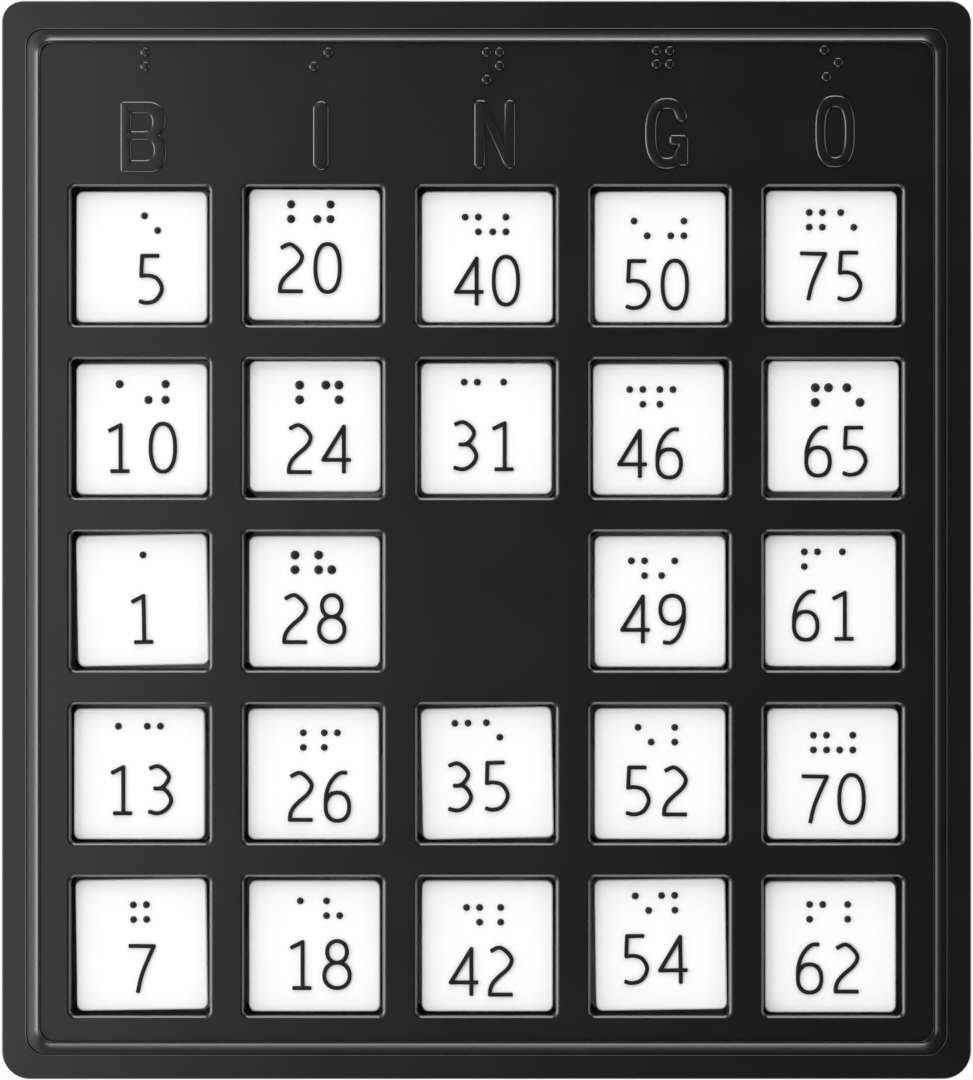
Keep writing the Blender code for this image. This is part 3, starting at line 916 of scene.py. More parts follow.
@dataclass
class BezelFrame:
    """The outer moulding: a flat rim, a thin foot line, the ridge with a lip inside it, and the ledge."""

    layout: Layout
    draft: float = 0.4 * MM
    rim_fillet: float = 0.3 * MM
    rim_thickness: float = 1.8 * MM
    step_edge: float = 0.02 * MM
    bead_width: float = 0.26 * MM
    bead_height: float = 0.045 * MM
    groove_width: float = 0.2 * MM
    groove_depth: float = 0.15 * MM
    groove_lean: float = 0.15
    slope_start: float = 4.0
    slope_end: float = 20.5
    facet_width: float = 0.26 * MM
    facet_tilt: float = 35.0
    crest_edge: float = 0.04 * MM
    notch_width: float = 0.14 * MM
    notch_depth: float = 0.14 * MM
    lip_width: float = 0.14 * MM
    lip_rise: float = 0.11 * MM
    lip_depth: float = 0.3 * MM
    ledge_thickness: float = 1.9 * MM
    inner_wall: float = 1.4 * MM
    foot_chamfer: float = 0.4 * MM
    corner_steps: int = 14
    slope_steps: int = 10
    fillet_steps: int = 6
    bead_steps: int = 8

    def section(self, inset: float, z: float) -> Section:
        """The board's outline drawn in by an inset; its corners tighten towards the opening."""
        layout = self.layout
        share = min(inset / layout.frame_margin, 1)
        opening = layout.plate_corner + layout.gap
        upper = layout.upper_corner + (opening - layout.upper_corner) * share
        lower = layout.lower_corner + (opening - layout.lower_corner) * share
        trim = layout.header_rim_extra if inset > layout.rim_width else 0.0
        return Section(layout.board_width - 2 * inset, layout.board_depth - 2 * inset, z, upper, lower, trim)

    def profile(self) -> list[Point]:
        """The wall as (inset, height) points, once round.

        Returns:
            Points from the outer foot over the rim, the foot line, the ridge and the lip to the hollow back.
        """
        layout = self.layout
        rim, crest, margin = layout.rim_top, layout.crest_top, layout.frame_margin
        outer = [
            (self.draft + self.rim_fillet * (1 - cosine), rim - self.rim_fillet * (1 - sine))
            for cosine, sine in quarter_arc(self.fillet_steps)
        ]
        bead_start = layout.rim_width + self.step_edge
        bead = []
        for index in range(self.bead_steps + 1):
            share = index / self.bead_steps
            lift = self.bead_height * math.sin(math.pi * share)
            bead.append((bead_start + self.bead_width * share, rim + lift))
        floor = rim - self.groove_depth
        groove_start = bead_start + self.bead_width
        slope_foot = groove_start + self.groove_width
        lean = self.groove_width * self.groove_lean
        facet = (margin - self.crest_edge - self.facet_width, crest - self.facet_rise)
        notch, lip = crest - self.notch_depth, margin + self.notch_width
        inner_face = margin + self.inner_wall
        return [
            (self.foot_chamfer, layout.cover_bottom),
            (0, layout.cover_bottom + self.foot_chamfer),
            *outer,
            *bead,
            (groove_start + lean, floor),
            (slope_foot - lean, floor),
            *self.slope(slope_foot, *facet),
            (margin - self.crest_edge, crest),
            (margin, notch),
            (lip, notch),
            (lip + self.lip_width, notch + self.lip_rise),
            (lip + self.lip_width, layout.plate_top - self.lip_depth),
            (margin, layout.plate_top - self.lip_depth - self.lip_width),
            (margin, layout.ledge_top),
            (inner_face, layout.ledge_top),
            (inner_face, layout.cover_top + layout.gap),
            (margin, layout.cover_top + layout.gap),
            (margin, layout.ledge_top - self.ledge_thickness),
            (layout.rim_width, layout.ledge_top - self.ledge_thickness),
            (layout.rim_width, rim - self.rim_thickness),
            (layout.frame_wall, rim - self.rim_thickness),
            (layout.frame_wall, layout.cover_bottom),
        ]

    @property
    def facet_rise(self) -> float:
        """How far the steep facet climbs to the crest."""
        return self.facet_width * math.tan(math.radians(self.facet_tilt))

    def slope(self, foot: float, top: float, top_z: float) -> list[Point]:
        """The hollow slope between the foot line and the facet, steeper and steeper.

        Args:
            foot: Its inset at the foot line.
            top: Its inset at the facet.
            top_z: Its height there.

        Returns:
            Points from the foot to the facet.
        """
        points = [(top, top_z)]
        width = (top - foot) / self.slope_steps
        for index in range(self.slope_steps):
            share = 1 - (index + 0.5) / self.slope_steps
            tilt = math.radians(self.slope_start + (self.slope_end - self.slope_start) * share)
            x, z = points[-1]
            points.append((x - width, z - width * math.tan(tilt)))
        return points[::-1]

    def build(self) -> bpy.types.Object:
        """Loft the frame as one closed ring."""
        sections = [self.section(inset, z) for inset, z in self.profile()]
        return Workshop.shaded(Workshop.loft("moulded_frame", sections, self.corner_steps, ring=True))

    def dress(self, piece: bpy.types.Object, finishes: Finishes) -> None:
        """Finish the frame and let it stand for its solid."""
        finishes.dress(piece, "black", Slot.BLACK)
        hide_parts("bezel_frame")
        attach(piece, "board")


@dataclass
class FacePlate:
    """The inner moulding: windows with rounded lips, the sleeves behind them, and screw bosses."""

    layout: Layout
    edge_bevel: float = 0.06 * MM
    window_corner: float = 0.9 * MM
    lip_radius: float = 0.8 * MM
    sleeve_wall: float = 1.2 * MM
    bore_radius: float = 1.5 * MM
    boss_wall: float = 1.1 * MM
    boss_bottom: float = 4.9 * MM
    bore_top: float = 11.0 * MM
    lip_steps: int = 8
    window_steps: int = 6
    plate_steps: int = 10
    sleeve_steps: int = 5
    bore_steps: int = 28

    def blank(self) -> bpy.types.Object:
        """The plain plate with a fine bevel round its face."""
        layout = self.layout
        insets = [
            (0.0, layout.plate_bottom),
            (0.0, layout.plate_top - self.edge_bevel),
            (self.edge_bevel, layout.plate_top),
        ]
        sections = []
        for inset, z in insets:
            radius = layout.plate_corner - inset
            width, depth = layout.plate_width - 2 * inset, layout.plate_depth - 2 * inset
            sections.append(Section(width, depth, z, radius, radius, layout.header_rim_extra))
        return Workshop.loft("moulded_face_plate", sections, self.plate_steps)

    def window(self) -> bpy.types.Object:
        """The cutter of a window, flaring past the face in a rounded lip."""
        layout = self.layout
        flare = []
        for cosine, sine in quarter_arc(self.lip_steps):
            flare.append((self.lip_radius * (1 - cosine), layout.plate_top - self.lip_radius * (1 - sine)))
        (inner, inner_z), (edge, edge_z) = flare[-2:]
        past = (2 * edge - inner, 2 * edge_z - inner_z)
        steps = [(0.0, layout.sleeve_bottom - OVERRUN), *flare[:-1], past]
        side = layout.window_side
        sections = [square(side + 2 * spread, z, self.window_corner + spread) for spread, z in steps]
        return Workshop.loft("window_blank", sections, self.window_steps)

    def build(self, panel: PanelTree, finish: bpy.types.Material) -> bpy.types.Object:
        """Cut the windows and back the plate with sleeves and bosses.

        Args:
            panel: The shared tree of grids and places.
            finish: The plate's material.

        Returns:
            The finished plate.
        """
        layout = self.layout
        middle = (layout.plate_bottom + layout.plate_top) / 2
        side = layout.window_side + 2 * self.sleeve_wall
        radius = self.window_corner + self.sleeve_wall
        walls = [square(side, z, radius) for z in (layout.sleeve_bottom, middle)]
        sleeve = Workshop.loft("sleeve_blank", walls, self.sleeve_steps)
        boss_radius = self.bore_radius + self.boss_wall
        boss = Workshop.drum("boss_blank", boss_radius, middle, self.boss_bottom, self.bore_steps)
        bottom = self.boss_bottom - OVERRUN
        bore = Workshop.drum("bore_blank", self.bore_radius, self.bore_top, bottom, self.bore_steps)
        window = self.window()
        screws = Workshop.places("plate_screw_places", layout.screw_places())
        plate = panel.run_on(
            self.blank(),
            {
                **layout.grid_inputs(),
                "Sleeve": sleeve,
                "Opening": window,
                "Screw Places": screws,
                "Boss": boss,
                "Bore": bore,
                "Finish": finish,
            },
        )
        Workshop.discard(sleeve, boss, bore, window, screws)
        return Workshop.shaded(plate)

    def dress(self, piece: bpy.types.Object, finishes: Finishes) -> None:
        """Finish the plate and let it stand for its solid."""
        finishes.dress(piece, "black", Slot.BLACK)
        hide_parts("face_plate")
        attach(piece, "board")


@dataclass
class BackCover:
    """The flat panel behind: a finger hole for every tile, screw seats and recesses for the feet."""

    layout: Layout
    chamfer: float = 0.3 * MM
    hole_side: float = 18.0 * MM
    hole_corner: float = 3.0 * MM
    seat_radius: float = 2.7 * MM
    seat_top: float = 3.2 * MM
    bore_radius: float = 1.5 * MM
    boss_radius: float = 3.8 * MM
    boss_top: float = 4.6 * MM
    recess_radius: float = 5.3 * MM
    corner_steps: int = 12
    hole_steps: int = 8
    boss_steps: int = 36
    recess_steps: int = 48

    def blank(self) -> bpy.types.Object:
        """The plain panel with its bevelled lower edge."""
        frame = BezelFrame(self.layout)
        edge = self.layout.frame_wall + self.layout.gap
        bottom, top = self.layout.cover_bottom, self.layout.cover_top
        sections = [
            frame.section(edge + self.chamfer, bottom),
            frame.section(edge, bottom + self.chamfer),
            frame.section(edge, top),
        ]
        return Workshop.loft("moulded_back_cover", sections, self.corner_steps)

    def build(self, panel: PanelTree, finish: bpy.types.Material) -> bpy.types.Object:
        """Cut the holes, seats and recesses and raise the screw bosses.

        Args:
            panel: The shared tree of grids and places.
            finish: The cover's material.

        Returns:
            The finished cover.
        """
        layout = self.layout
        bottom, top = layout.cover_bottom, layout.cover_top
        heights = (bottom - OVERRUN, top + OVERRUN)
        openings = [square(self.hole_side, z, self.hole_corner) for z in heights]
        hole = Workshop.loft("finger_hole", openings, self.hole_steps)
        middle = (bottom + top) / 2
        boss = Workshop.drum("cover_boss", self.boss_radius, self.boss_top, middle, self.boss_steps)
        seat = Workshop.lathe(
            "screw_seat",
            [
                (0, self.boss_top + OVERRUN),
                (self.bore_radius, self.boss_top + OVERRUN),
                (self.bore_radius, self.seat_top),
                (self.seat_radius, self.seat_top),
                (self.seat_radius, bottom - OVERRUN),
                (0, bottom - OVERRUN),
            ],
            self.boss_steps,
        )
        deep = bottom + layout.foot_recess
        recess = Workshop.drum("foot_recess", self.recess_radius, deep, bottom - OVERRUN, self.recess_steps)
        screws = Workshop.places("cover_screw_places", layout.screw_places())
        feet = Workshop.places("cover_foot_places", layout.foot_places())
        cover = panel.run_on(
            self.blank(),
            {
                **layout.grid_inputs(),
                "Opening": hole,
                "Screw Places": screws,
                "Boss": boss,
                "Bore": seat,
                "Foot Places": feet,
                "Recess": recess,
                "Finish": finish,
            },
        )
        Workshop.discard(hole, boss, seat, recess, screws, feet)
        return Workshop.shaded(cover)

    def dress(self, piece: bpy.types.Object, finishes: Finishes) -> None:
        """Finish the cover and let it stand for its solid."""
        finishes.dress(piece, "back", Slot.BACK)
        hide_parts("back_cover")
        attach(piece, "board")


@dataclass
class CoverScrews:
    """Pan-head screws with a cross recess, driven from behind."""

    layout: Layout
    shank_radius: float = 1.2 * MM
    head_radius: float = 2.4 * MM
    head_height: float = 1.6 * MM
    crown: float = 0.4 * MM
    tip: float = 0.8 * MM
    end: float = 10.4 * MM
    recess_span: float = 2.6 * MM
    recess_width: float = 0.55 * MM
    recess_depth: float = 0.9 * MM
    crown_steps: int = 5
    turn_steps: int = 32

    def pattern(self) -> bpy.types.Object:
        """One screw about the Z axis."""
        bottom = self.layout.cover_bottom + self.layout.gap
        top = bottom + self.head_height
        crown = [
            (self.head_radius - self.crown * (1 - cosine), bottom + self.crown * (1 - sine))
            for cosine, sine in quarter_arc(self.crown_steps)
        ]
        profile = [
            (0, self.end),
            (self.shank_radius, self.end - self.tip),
            (self.shank_radius, top),
            (self.head_radius, top),
            *crown,
            (0, bottom),
        ]
        screw = Workshop.lathe("screw_pattern", profile, self.turn_steps)
        half, width = self.recess_span / 2, self.recess_width / 2
        arm = [(half, -width), (half, width), (width, width)]
        cross = []
        for _ in range(4):
            cross += arm
            arm = [(-y, x) for x, y in arm]
        tool = Workshop.prism("cross_recess", cross, bottom - OVERRUN, bottom + self.recess_depth)
        Workshop.fit(screw, tool, Joinery.CUT)
        return screw

    def build(self, scatter: ScatterTree, finish: bpy.types.Material) -> bpy.types.Object:
        """Set a screw at every place."""
        pattern = self.pattern()
        screws = Workshop.places("cover_screws", self.layout.screw_places())
        scatter.run_on(screws, {"Pattern": pattern, "Share Of Size": 1.0, "Finish": finish})
        Workshop.discard(pattern)
        return Workshop.shaded(screws)

    def dress(self, piece: bpy.types.Object, finishes: Finishes) -> None:
        """Finish the screws and let them stand for their solids."""
        finishes.dress(piece, "steel", Slot.STEEL)
        count = len(self.layout.screw_places())
        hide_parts(*(f"cover_screw_{number}" for number in range(1, count + 1)))
        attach(piece, "board")


@dataclass
class RubberFeet:
    """Round rubber feet in the recesses of the cover."""

    layout: Layout
    radius: float = 5.0 * MM
    bevel: float = 0.5 * MM
    bevel_steps: int = 5
    turn_steps: int = 48

    def build(self, scatter: ScatterTree, finish: bpy.types.Material) -> bpy.types.Object:
        """Set a foot at every corner."""
        top = self.layout.cover_bottom + self.layout.foot_recess - self.layout.gap
        edge = [
            (self.radius - self.bevel * (1 - cosine), self.bevel * (1 - sine))
            for cosine, sine in quarter_arc(self.bevel_steps)
        ]
        profile = [(0, top), (self.radius, top), *edge, (0, 0)]
        pattern = Workshop.lathe("foot_pattern", profile, self.turn_steps)
        feet = Workshop.places("rubber_feet", self.layout.foot_places())
        scatter.run_on(feet, {"Pattern": pattern, "Share Of Size": 1.0, "Finish": finish})
        Workshop.discard(pattern)
        return Workshop.shaded(feet)

    def dress(self, piece: bpy.types.Object, finishes: Finishes) -> None:
        """Finish the feet and let them stand for their solids."""
        finishes.dress(piece, "rubber", Slot.RUBBER)
        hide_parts("foot_front_left", "foot_front_right", "foot_back_left", "foot_back_right")
        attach(piece, "board")


@dataclass
class NumberTile:
    """A push-down tile: a rounded cap with a catch flange, a ribbed back and two spring tongues."""

    layout: Layout
    corner: float = 1.3 * MM
    edge_fillet: float = 0.4 * MM
    wall: float = 1.2 * MM
    cap: float = 1.4 * MM
    rib: float = 1.2 * MM
    flange: float = 1.0 * MM
    catch: float = 1.1 * MM
    flange_corner: float = 5.5 * MM
    tongue_width: float = 6.0 * MM
    tongue_slot: float = 0.8 * MM
    tongue_relief: float = 0.3 * MM
    tongue_pad: float = 1.1 * MM
    pocket_corner: float = 0.5 * MM
    corner_steps: int = 8
    fillet_steps: int = 5
    pocket_steps: int = 3

    def blank(self) -> bpy.types.Object:
        """The outside of the tile."""
        layout = self.layout
        face, side = layout.tile_height, layout.tile_side
        flange_side = layout.window_side + 2 * self.catch
        sections = [square(flange_side, z, self.flange_corner) for z in (0.0, self.flange)]
        sections.append(square(side, self.flange, self.corner))
        for cosine, sine in quarter_arc(self.fillet_steps):
            inset = self.edge_fillet * (1 - cosine)
            z = face - self.edge_fillet * (1 - sine)
            sections.append(square(side - 2 * inset, z, self.corner - inset))
        return Workshop.loft("tile_pattern", sections, self.corner_steps)

    def pattern(self) -> bpy.types.Object:
        """One tile standing on its flange at the origin.

        Returns:
            The pattern that all tiles are copied from.
        """
        layout = self.layout
        half = layout.tile_side / 2
        ceiling = layout.tile_height - self.cap
        tile = self.blank()
        pocket = half - self.wall - self.rib / 2
        centre = (self.rib + pocket) / 2
        walls = [square(pocket, z, self.pocket_corner) for z in (-OVERRUN, ceiling)]
        hollow = Workshop.loft("pocket", walls, self.pocket_steps)
        quarters = [Matrix.Translation((x, y, 0)) for x in (-centre, centre) for y in (-centre, centre)]
        Workshop.fit(tile, Workshop.joined("pockets", hollow, quarters), Joinery.CUT)

        right = Matrix.Translation((centre, 0, 0))
        both = [right, Matrix.Rotation(math.pi, 4, "Z") @ right]
        root = self.flange + self.tongue_slot
        end = ceiling - self.tongue_relief
        slim = self.tongue_width / 2
        wide = slim + self.tongue_slot
        outline = [
            (wide, root), (wide, end), (-wide, end), (-wide, root),
            (-slim, root), (-slim, end - self.tongue_slot), (slim, end - self.tongue_slot), (slim, root),
        ]
        slot = Workshop.prism("slot", outline, half - self.wall - OVERRUN, half + OVERRUN, upright=True)
        Workshop.fit(tile, Workshop.joined("slots", slot, both), Joinery.CUT)

        low = root + self.tongue_relief
        high = end - self.tongue_slot - self.tongue_pad
        reach = (self.tongue_width + self.tongue_slot) / 2
        outline = [(-reach, low), (reach, low), (reach, high), (-reach, high)]
        relief = Workshop.prism("relief", outline, half - self.tongue_relief, half + OVERRUN, upright=True)
        Workshop.fit(tile, Workshop.joined("reliefs", relief, both), Joinery.CUT)
        return Workshop.shaded(tile)


@dataclass(frozen=True)
class Stroke:
    """A printed line: its points as shares of the figure's height, whether it bends, and how it ends."""

    points: tuple[Point, ...]
    smooth: bool = False
    start: End = End.SQUARE
    end: End = End.SQUARE

    EASE = 0.55

    def spine(self, height: float, bends: int = 7) -> Loop:
        """The line's middle.

        Args:
            height: The figure's height.
            bends: Steps from one point to the next where the line bends.

        Returns:
            Points along it.
        """
        points = [Vector(point) * height for point in self.points]
        if not self.smooth:
            return [tuple(point) for point in points]
        padded = [2 * points[0] - points[1], *points, 2 * points[-1] - points[-2]]
        spine = []
        for before, here, after, beyond in zip(padded, padded[1:], padded[2:], padded[3:]):
            for step in range(bends):
                share = step / bends
                spine.append(self.between(before, here, after, beyond, share))
        spine.append(points[-1])
        return [tuple(point) for point in spine]

    @staticmethod
    def between(before: Vector, here: Vector, after: Vector, beyond: Vector, share: float) -> Vector:
        """A point of the smooth line from one given point to the next."""
        knots = [0.0]
        for near, far in ((before, here), (here, after), (after, beyond)):
            knots.append(knots[-1] + (far - near).length ** 0.5)
        at = knots[1] + (knots[2] - knots[1]) * share

        def blend(first: Vector, second: Vector, low: float, high: float) -> Vector:
            """Blend two points between two knots."""
            return first.lerp(second, (at - low) / (high - low))

        first = blend(before, here, knots[0], knots[1])
        second = blend(here, after, knots[1], knots[2])
        third = blend(after, beyond, knots[2], knots[3])
        start = blend(first, second, knots[0], knots[2])
        stop = blend(second, third, knots[1], knots[3])
        return blend(start, stop, knots[1], knots[2])

    def patch(self, height: float, width: float) -> "Patch":
        """The area that the line covers.

        Args:
            height: The figure's height.
            width: The line's width.

        Returns:
            A patch with one outline.
        """
        spine = [Vector(point) for point in self.spine(height)]
        half = width / 2
        sides = []
        for index, point in enumerate(spine):
            back = (point - spine[max(index - 1, 0)]).normalized()
            ahead = (spine[min(index + 1, len(spine) - 1)] - point).normalized()
            tangent = (back + ahead).normalized()
            sides.append(Vector((-tangent.y, tangent.x)) * half)
        left = [tuple(point + side) for point, side in zip(spine, sides)]
        right = [tuple(point - side) for point, side in zip(spine, sides)]
        head = self.cap(spine[-1], sides[-1], self.end)
        tail = self.cap(spine[0], -sides[0], self.start)
        outline = left[1:-1] + head + right[-2:0:-1] + tail
        return Patch((outline,))

    @classmethod
    def cap(cls, point: Vector, side: Vector, kind: End, steps: int = 10) -> Loop:
        """Points round an end, from the side given to the one across."""
        forward = Vector((side.y, -side.x))
        points = []
        if kind is End.ROUND:
            for step in range(steps + 1):
                angle = math.pi * step / steps
                points.append(tuple(point + side * math.cos(angle) + forward * math.sin(angle)))
            return points
        for turn in (0, 1):
            for step in range(steps // 2 + 1):
                angle = math.pi / 2 * (turn + 2 * step / steps)
                across = (1 - cls.EASE if turn == 0 else cls.EASE - 1) + cls.EASE * math.cos(angle)
                along = cls.EASE * math.sin(angle) - cls.EASE
                points.append(tuple(point + side * across + forward * along))
        return points


@dataclass(frozen=True)
class Oval:
    """A printed oval ring: its middle and its radii as shares of the figure's height."""

    centre: Point
    radii: Point
    power: float = 2.25

    def patch(self, height: float, width: float) -> "Patch":
        """The ring that the line covers."""
        middle = (self.centre[0] * height, self.centre[1] * height)
        loops = []
        for grow in (width / 2, -width / 2):
            radii = (self.radii[0] * height + grow, self.radii[1] * height + grow)
            loops.append(superoval(middle, radii, self.power))
        return Patch(tuple(loops))


@dataclass(frozen=True)
class Patch:
    """An area in the plane: an outline and any openings in it."""

    loops: tuple[Loop, ...]

    def holds(self, x: float, y: float) -> bool:
        """Whether a point lies in the area.

        Args:
            x: The point's X.
            y: The point's Y.

        Returns:
            True inside the outline and outside its openings.
        """
        inside = False
        for loop in self.loops:
            for (ax, ay), (bx, by) in zip(loop, loop[1:] + loop[:1]):
                if (ay > y) != (by > y) and x < (bx - ax) * (y - ay) / (by - ay) + ax:
                    inside = not inside
        return inside


@dataclass(frozen=True)
class Relief:
    """Raised print: how far it stands up, how deep it is rooted, and how its upper edge falls away."""

    height: float
    root: float
    edge: float
    steps: int = 4
    fall: float = 1.0
    nearest: float = 0.02
    least: float = 0.01
    merge: float = 1e-5
    blunt: float = 0.5

    def outlines(self, patches: list[Patch]) -> list[Loop]:
        """The clean outlines of overlapping patches, with the printed area on their left.

        Args:
            patches: The areas that together make a figure, in millimetres.

        Returns:
            Closed loops of points.
        """
        points, edges = [], []
        for patch in patches:
            for loop in patch.loops:
                first = len(points)
                points += [Vector(point) for point in loop]
                edges += [(first + index, first + (index + 1) % len(loop)) for index in range(len(loop))]
        found, _, faces, *_ = delaunay_2d_cdt(points, edges, [], 0, self.merge)
        following = {}
        halves = set()
        for face in faces:
            x = sum(found[index].x for index in face) / len(face)
            y = sum(found[index].y for index in face) / len(face)
            if any(patch.holds(x, y) for patch in patches):
                halves.update(zip(face, face[1:] + face[:1]))
        for near, far in halves:
            if (far, near) not in halves:
                following.setdefault(near, []).append(far)
        loops = []
        while following:
            loop = self.walked(following, found)
            if abs(self.area(loop)) > self.least:
                loops.append(loop)
        return loops

    def walked(self, following: dict[int, list[int]], found: list[Vector]) -> Loop:
        """Take one closed loop out of the border's directed edges.

        Args:
            following: For each point of the border, the points that come after it.
            found: Every point.

        Returns:
            The loop's points.
        """
        start = next(iter(following))
        loop = [start]
        while True:
            here = loop[-1]
            choices = following[here]
            if len(choices) > 1 and len(loop) > 1:
                back = found[loop[-2]] - found[here]
                choices.sort(key=lambda far: self.turn(back, found[far] - found[here]), reverse=True)
            step = choices.pop()
            if not choices:
                del following[here]
            if step == start:
                break
            loop.append(step)
        return self.thinned([tuple(found[index]) for index in loop])

    @staticmethod
    def turn(back: Vector, ahead: Vector) -> float:
        """The clockwise angle from one direction to another, from nought to a full turn."""
        return (math.atan2(back.y, back.x) - math.atan2(ahead.y, ahead.x)) % (2 * math.pi)

    @staticmethod
    def area(loop: Loop) -> float:
        """The area that a loop encloses, below zero where it runs clockwise."""
        return sum(ax * by - bx * ay for (ax, ay), (bx, by) in zip(loop, loop[1:] + loop[:1])) / 2

    def thinned(self, loop: Loop) -> Loop:
        """Drop points that all but coincide with the one before."""
        kept = [loop[0]]
        for point in loop[1:]:
            if math.dist(point, kept[-1]) > self.nearest and math.dist(point, kept[0]) > self.nearest:
                kept.append(point)
        return kept

    def drawn_in(self, loop: Loop, inset: float) -> Loop:
        """Move a loop towards the area on its left."""
        moved = []
        for before, here, after in zip(loop[-1:] + loop[:-1], loop, loop[1:] + loop[:1]):
            back = (Vector(here) - Vector(before)).normalized()
            ahead = (Vector(after) - Vector(here)).normalized()
            first, second = Vector((-back.y, back.x)), Vector((-ahead.y, ahead.x))
            miter = (first + second) / max(1 + first.dot(second), self.blunt)
            moved.append((here[0] + miter.x * inset, here[1] + miter.y * inset))
        return moved

    def mesh(self, name: str, patches: list[Patch]) -> bpy.types.Mesh:
        """Raise patches into a closed mesh with a flat top and a rounded upper edge.

        Args:
            name: The mesh's name.
            patches: The areas, in millimetres.

        Returns:
            The mesh in metres, about the plane that it stands on.
        """
        levels = [(0.0, -self.root)]
        levels += [
            (self.edge * (1 - cosine), self.height - self.edge * self.fall * (1 - sine))
            for cosine, sine in quarter_arc(self.steps)
        ]
        bm = bmesh.new()
        rims = {0: [], len(levels) - 1: []}
        for loop in self.outlines(patches):
            rings = []
            for inset, z in levels:
                rings.append([bm.verts.new((x * MM, y * MM, z * MM)) for x, y in self.drawn_in(loop, inset)])
            for lower, upper in zip(rings, rings[1:]):
                for index, corner in enumerate(lower):
                    after = (index + 1) % len(lower)
                    bm.faces.new((corner, lower[after], upper[after], upper[index]))
            for level, rim in rims.items():
                ring = rings[level]
                rim += [bm.edges.get((near, far)) for near, far in zip(ring, ring[1:] + ring[:1])]
        for rim in rims.values():
            bmesh.ops.triangle_fill(bm, edges=rim, use_beauty=True)
        return Workshop.mesh_from(name, bm)


@dataclass(frozen=True)
class TileLabel:
    """Where the print of one tile stands, in millimetres from the tile's middle, to a rough quarter.

    The figures stand evenly about their middle. The first braille cell starts at first_dot, and the second
    stands cell_pitch further on.
    """

    middle: float
    level: float
    first_dot: float
    cell_pitch: float = 0.0
    figure_pitch: float = 7.0
    dots_above: float = 12.1
    dot: float = 1.35
    pitch: Point = (2.5, 2.8)

    def figure_places(self, count: int) -> list[float]:
        """The middle of each of the figures, from left to right."""
        start = self.middle - self.figure_pitch * (count - 1) / 2
        return [start + self.figure_pitch * place for place in range(count)]

    def cell_places(self, count: int) -> list[Point]:
        """Where each braille cell has, or would have, its first dot."""
        row = self.level + self.dots_above
        return [(self.first_dot + self.cell_pitch * place, row) for place in range(count)]


class Braille:
    """The dots of the cells that stand for figures and column letters."""

    FIGURES = {
        "1": (1,), "2": (1, 2), "3": (1, 4), "4": (1, 4, 5), "5": (1, 5),
        "6": (1, 2, 4), "7": (1, 2, 4, 5), "8": (1, 2, 5), "9": (2, 4), "0": (2, 4, 5),
    }
    LETTERS = {"B": (1, 2), "I": (2, 4), "N": (1, 3, 4, 5), "G": (1, 2, 4, 5), "O": (1, 3, 5)}

    @staticmethod
    def dots(cell: tuple[int, ...], first: Point, pitch: Point) -> list[Point]:
        """Places of a cell's dots.

        Args:
            cell: The dots that are raised, numbered down the left side and then the right.
            first: Where dot one stands, or would.
            pitch: From one dot to the next, across and down.

        Returns:
            A place for each dot.
        """
        return [
            (first[0] + (dot - 1) // 3 * pitch[0], first[1] - (dot - 1) % 3 * pitch[1]) for dot in cell
        ]


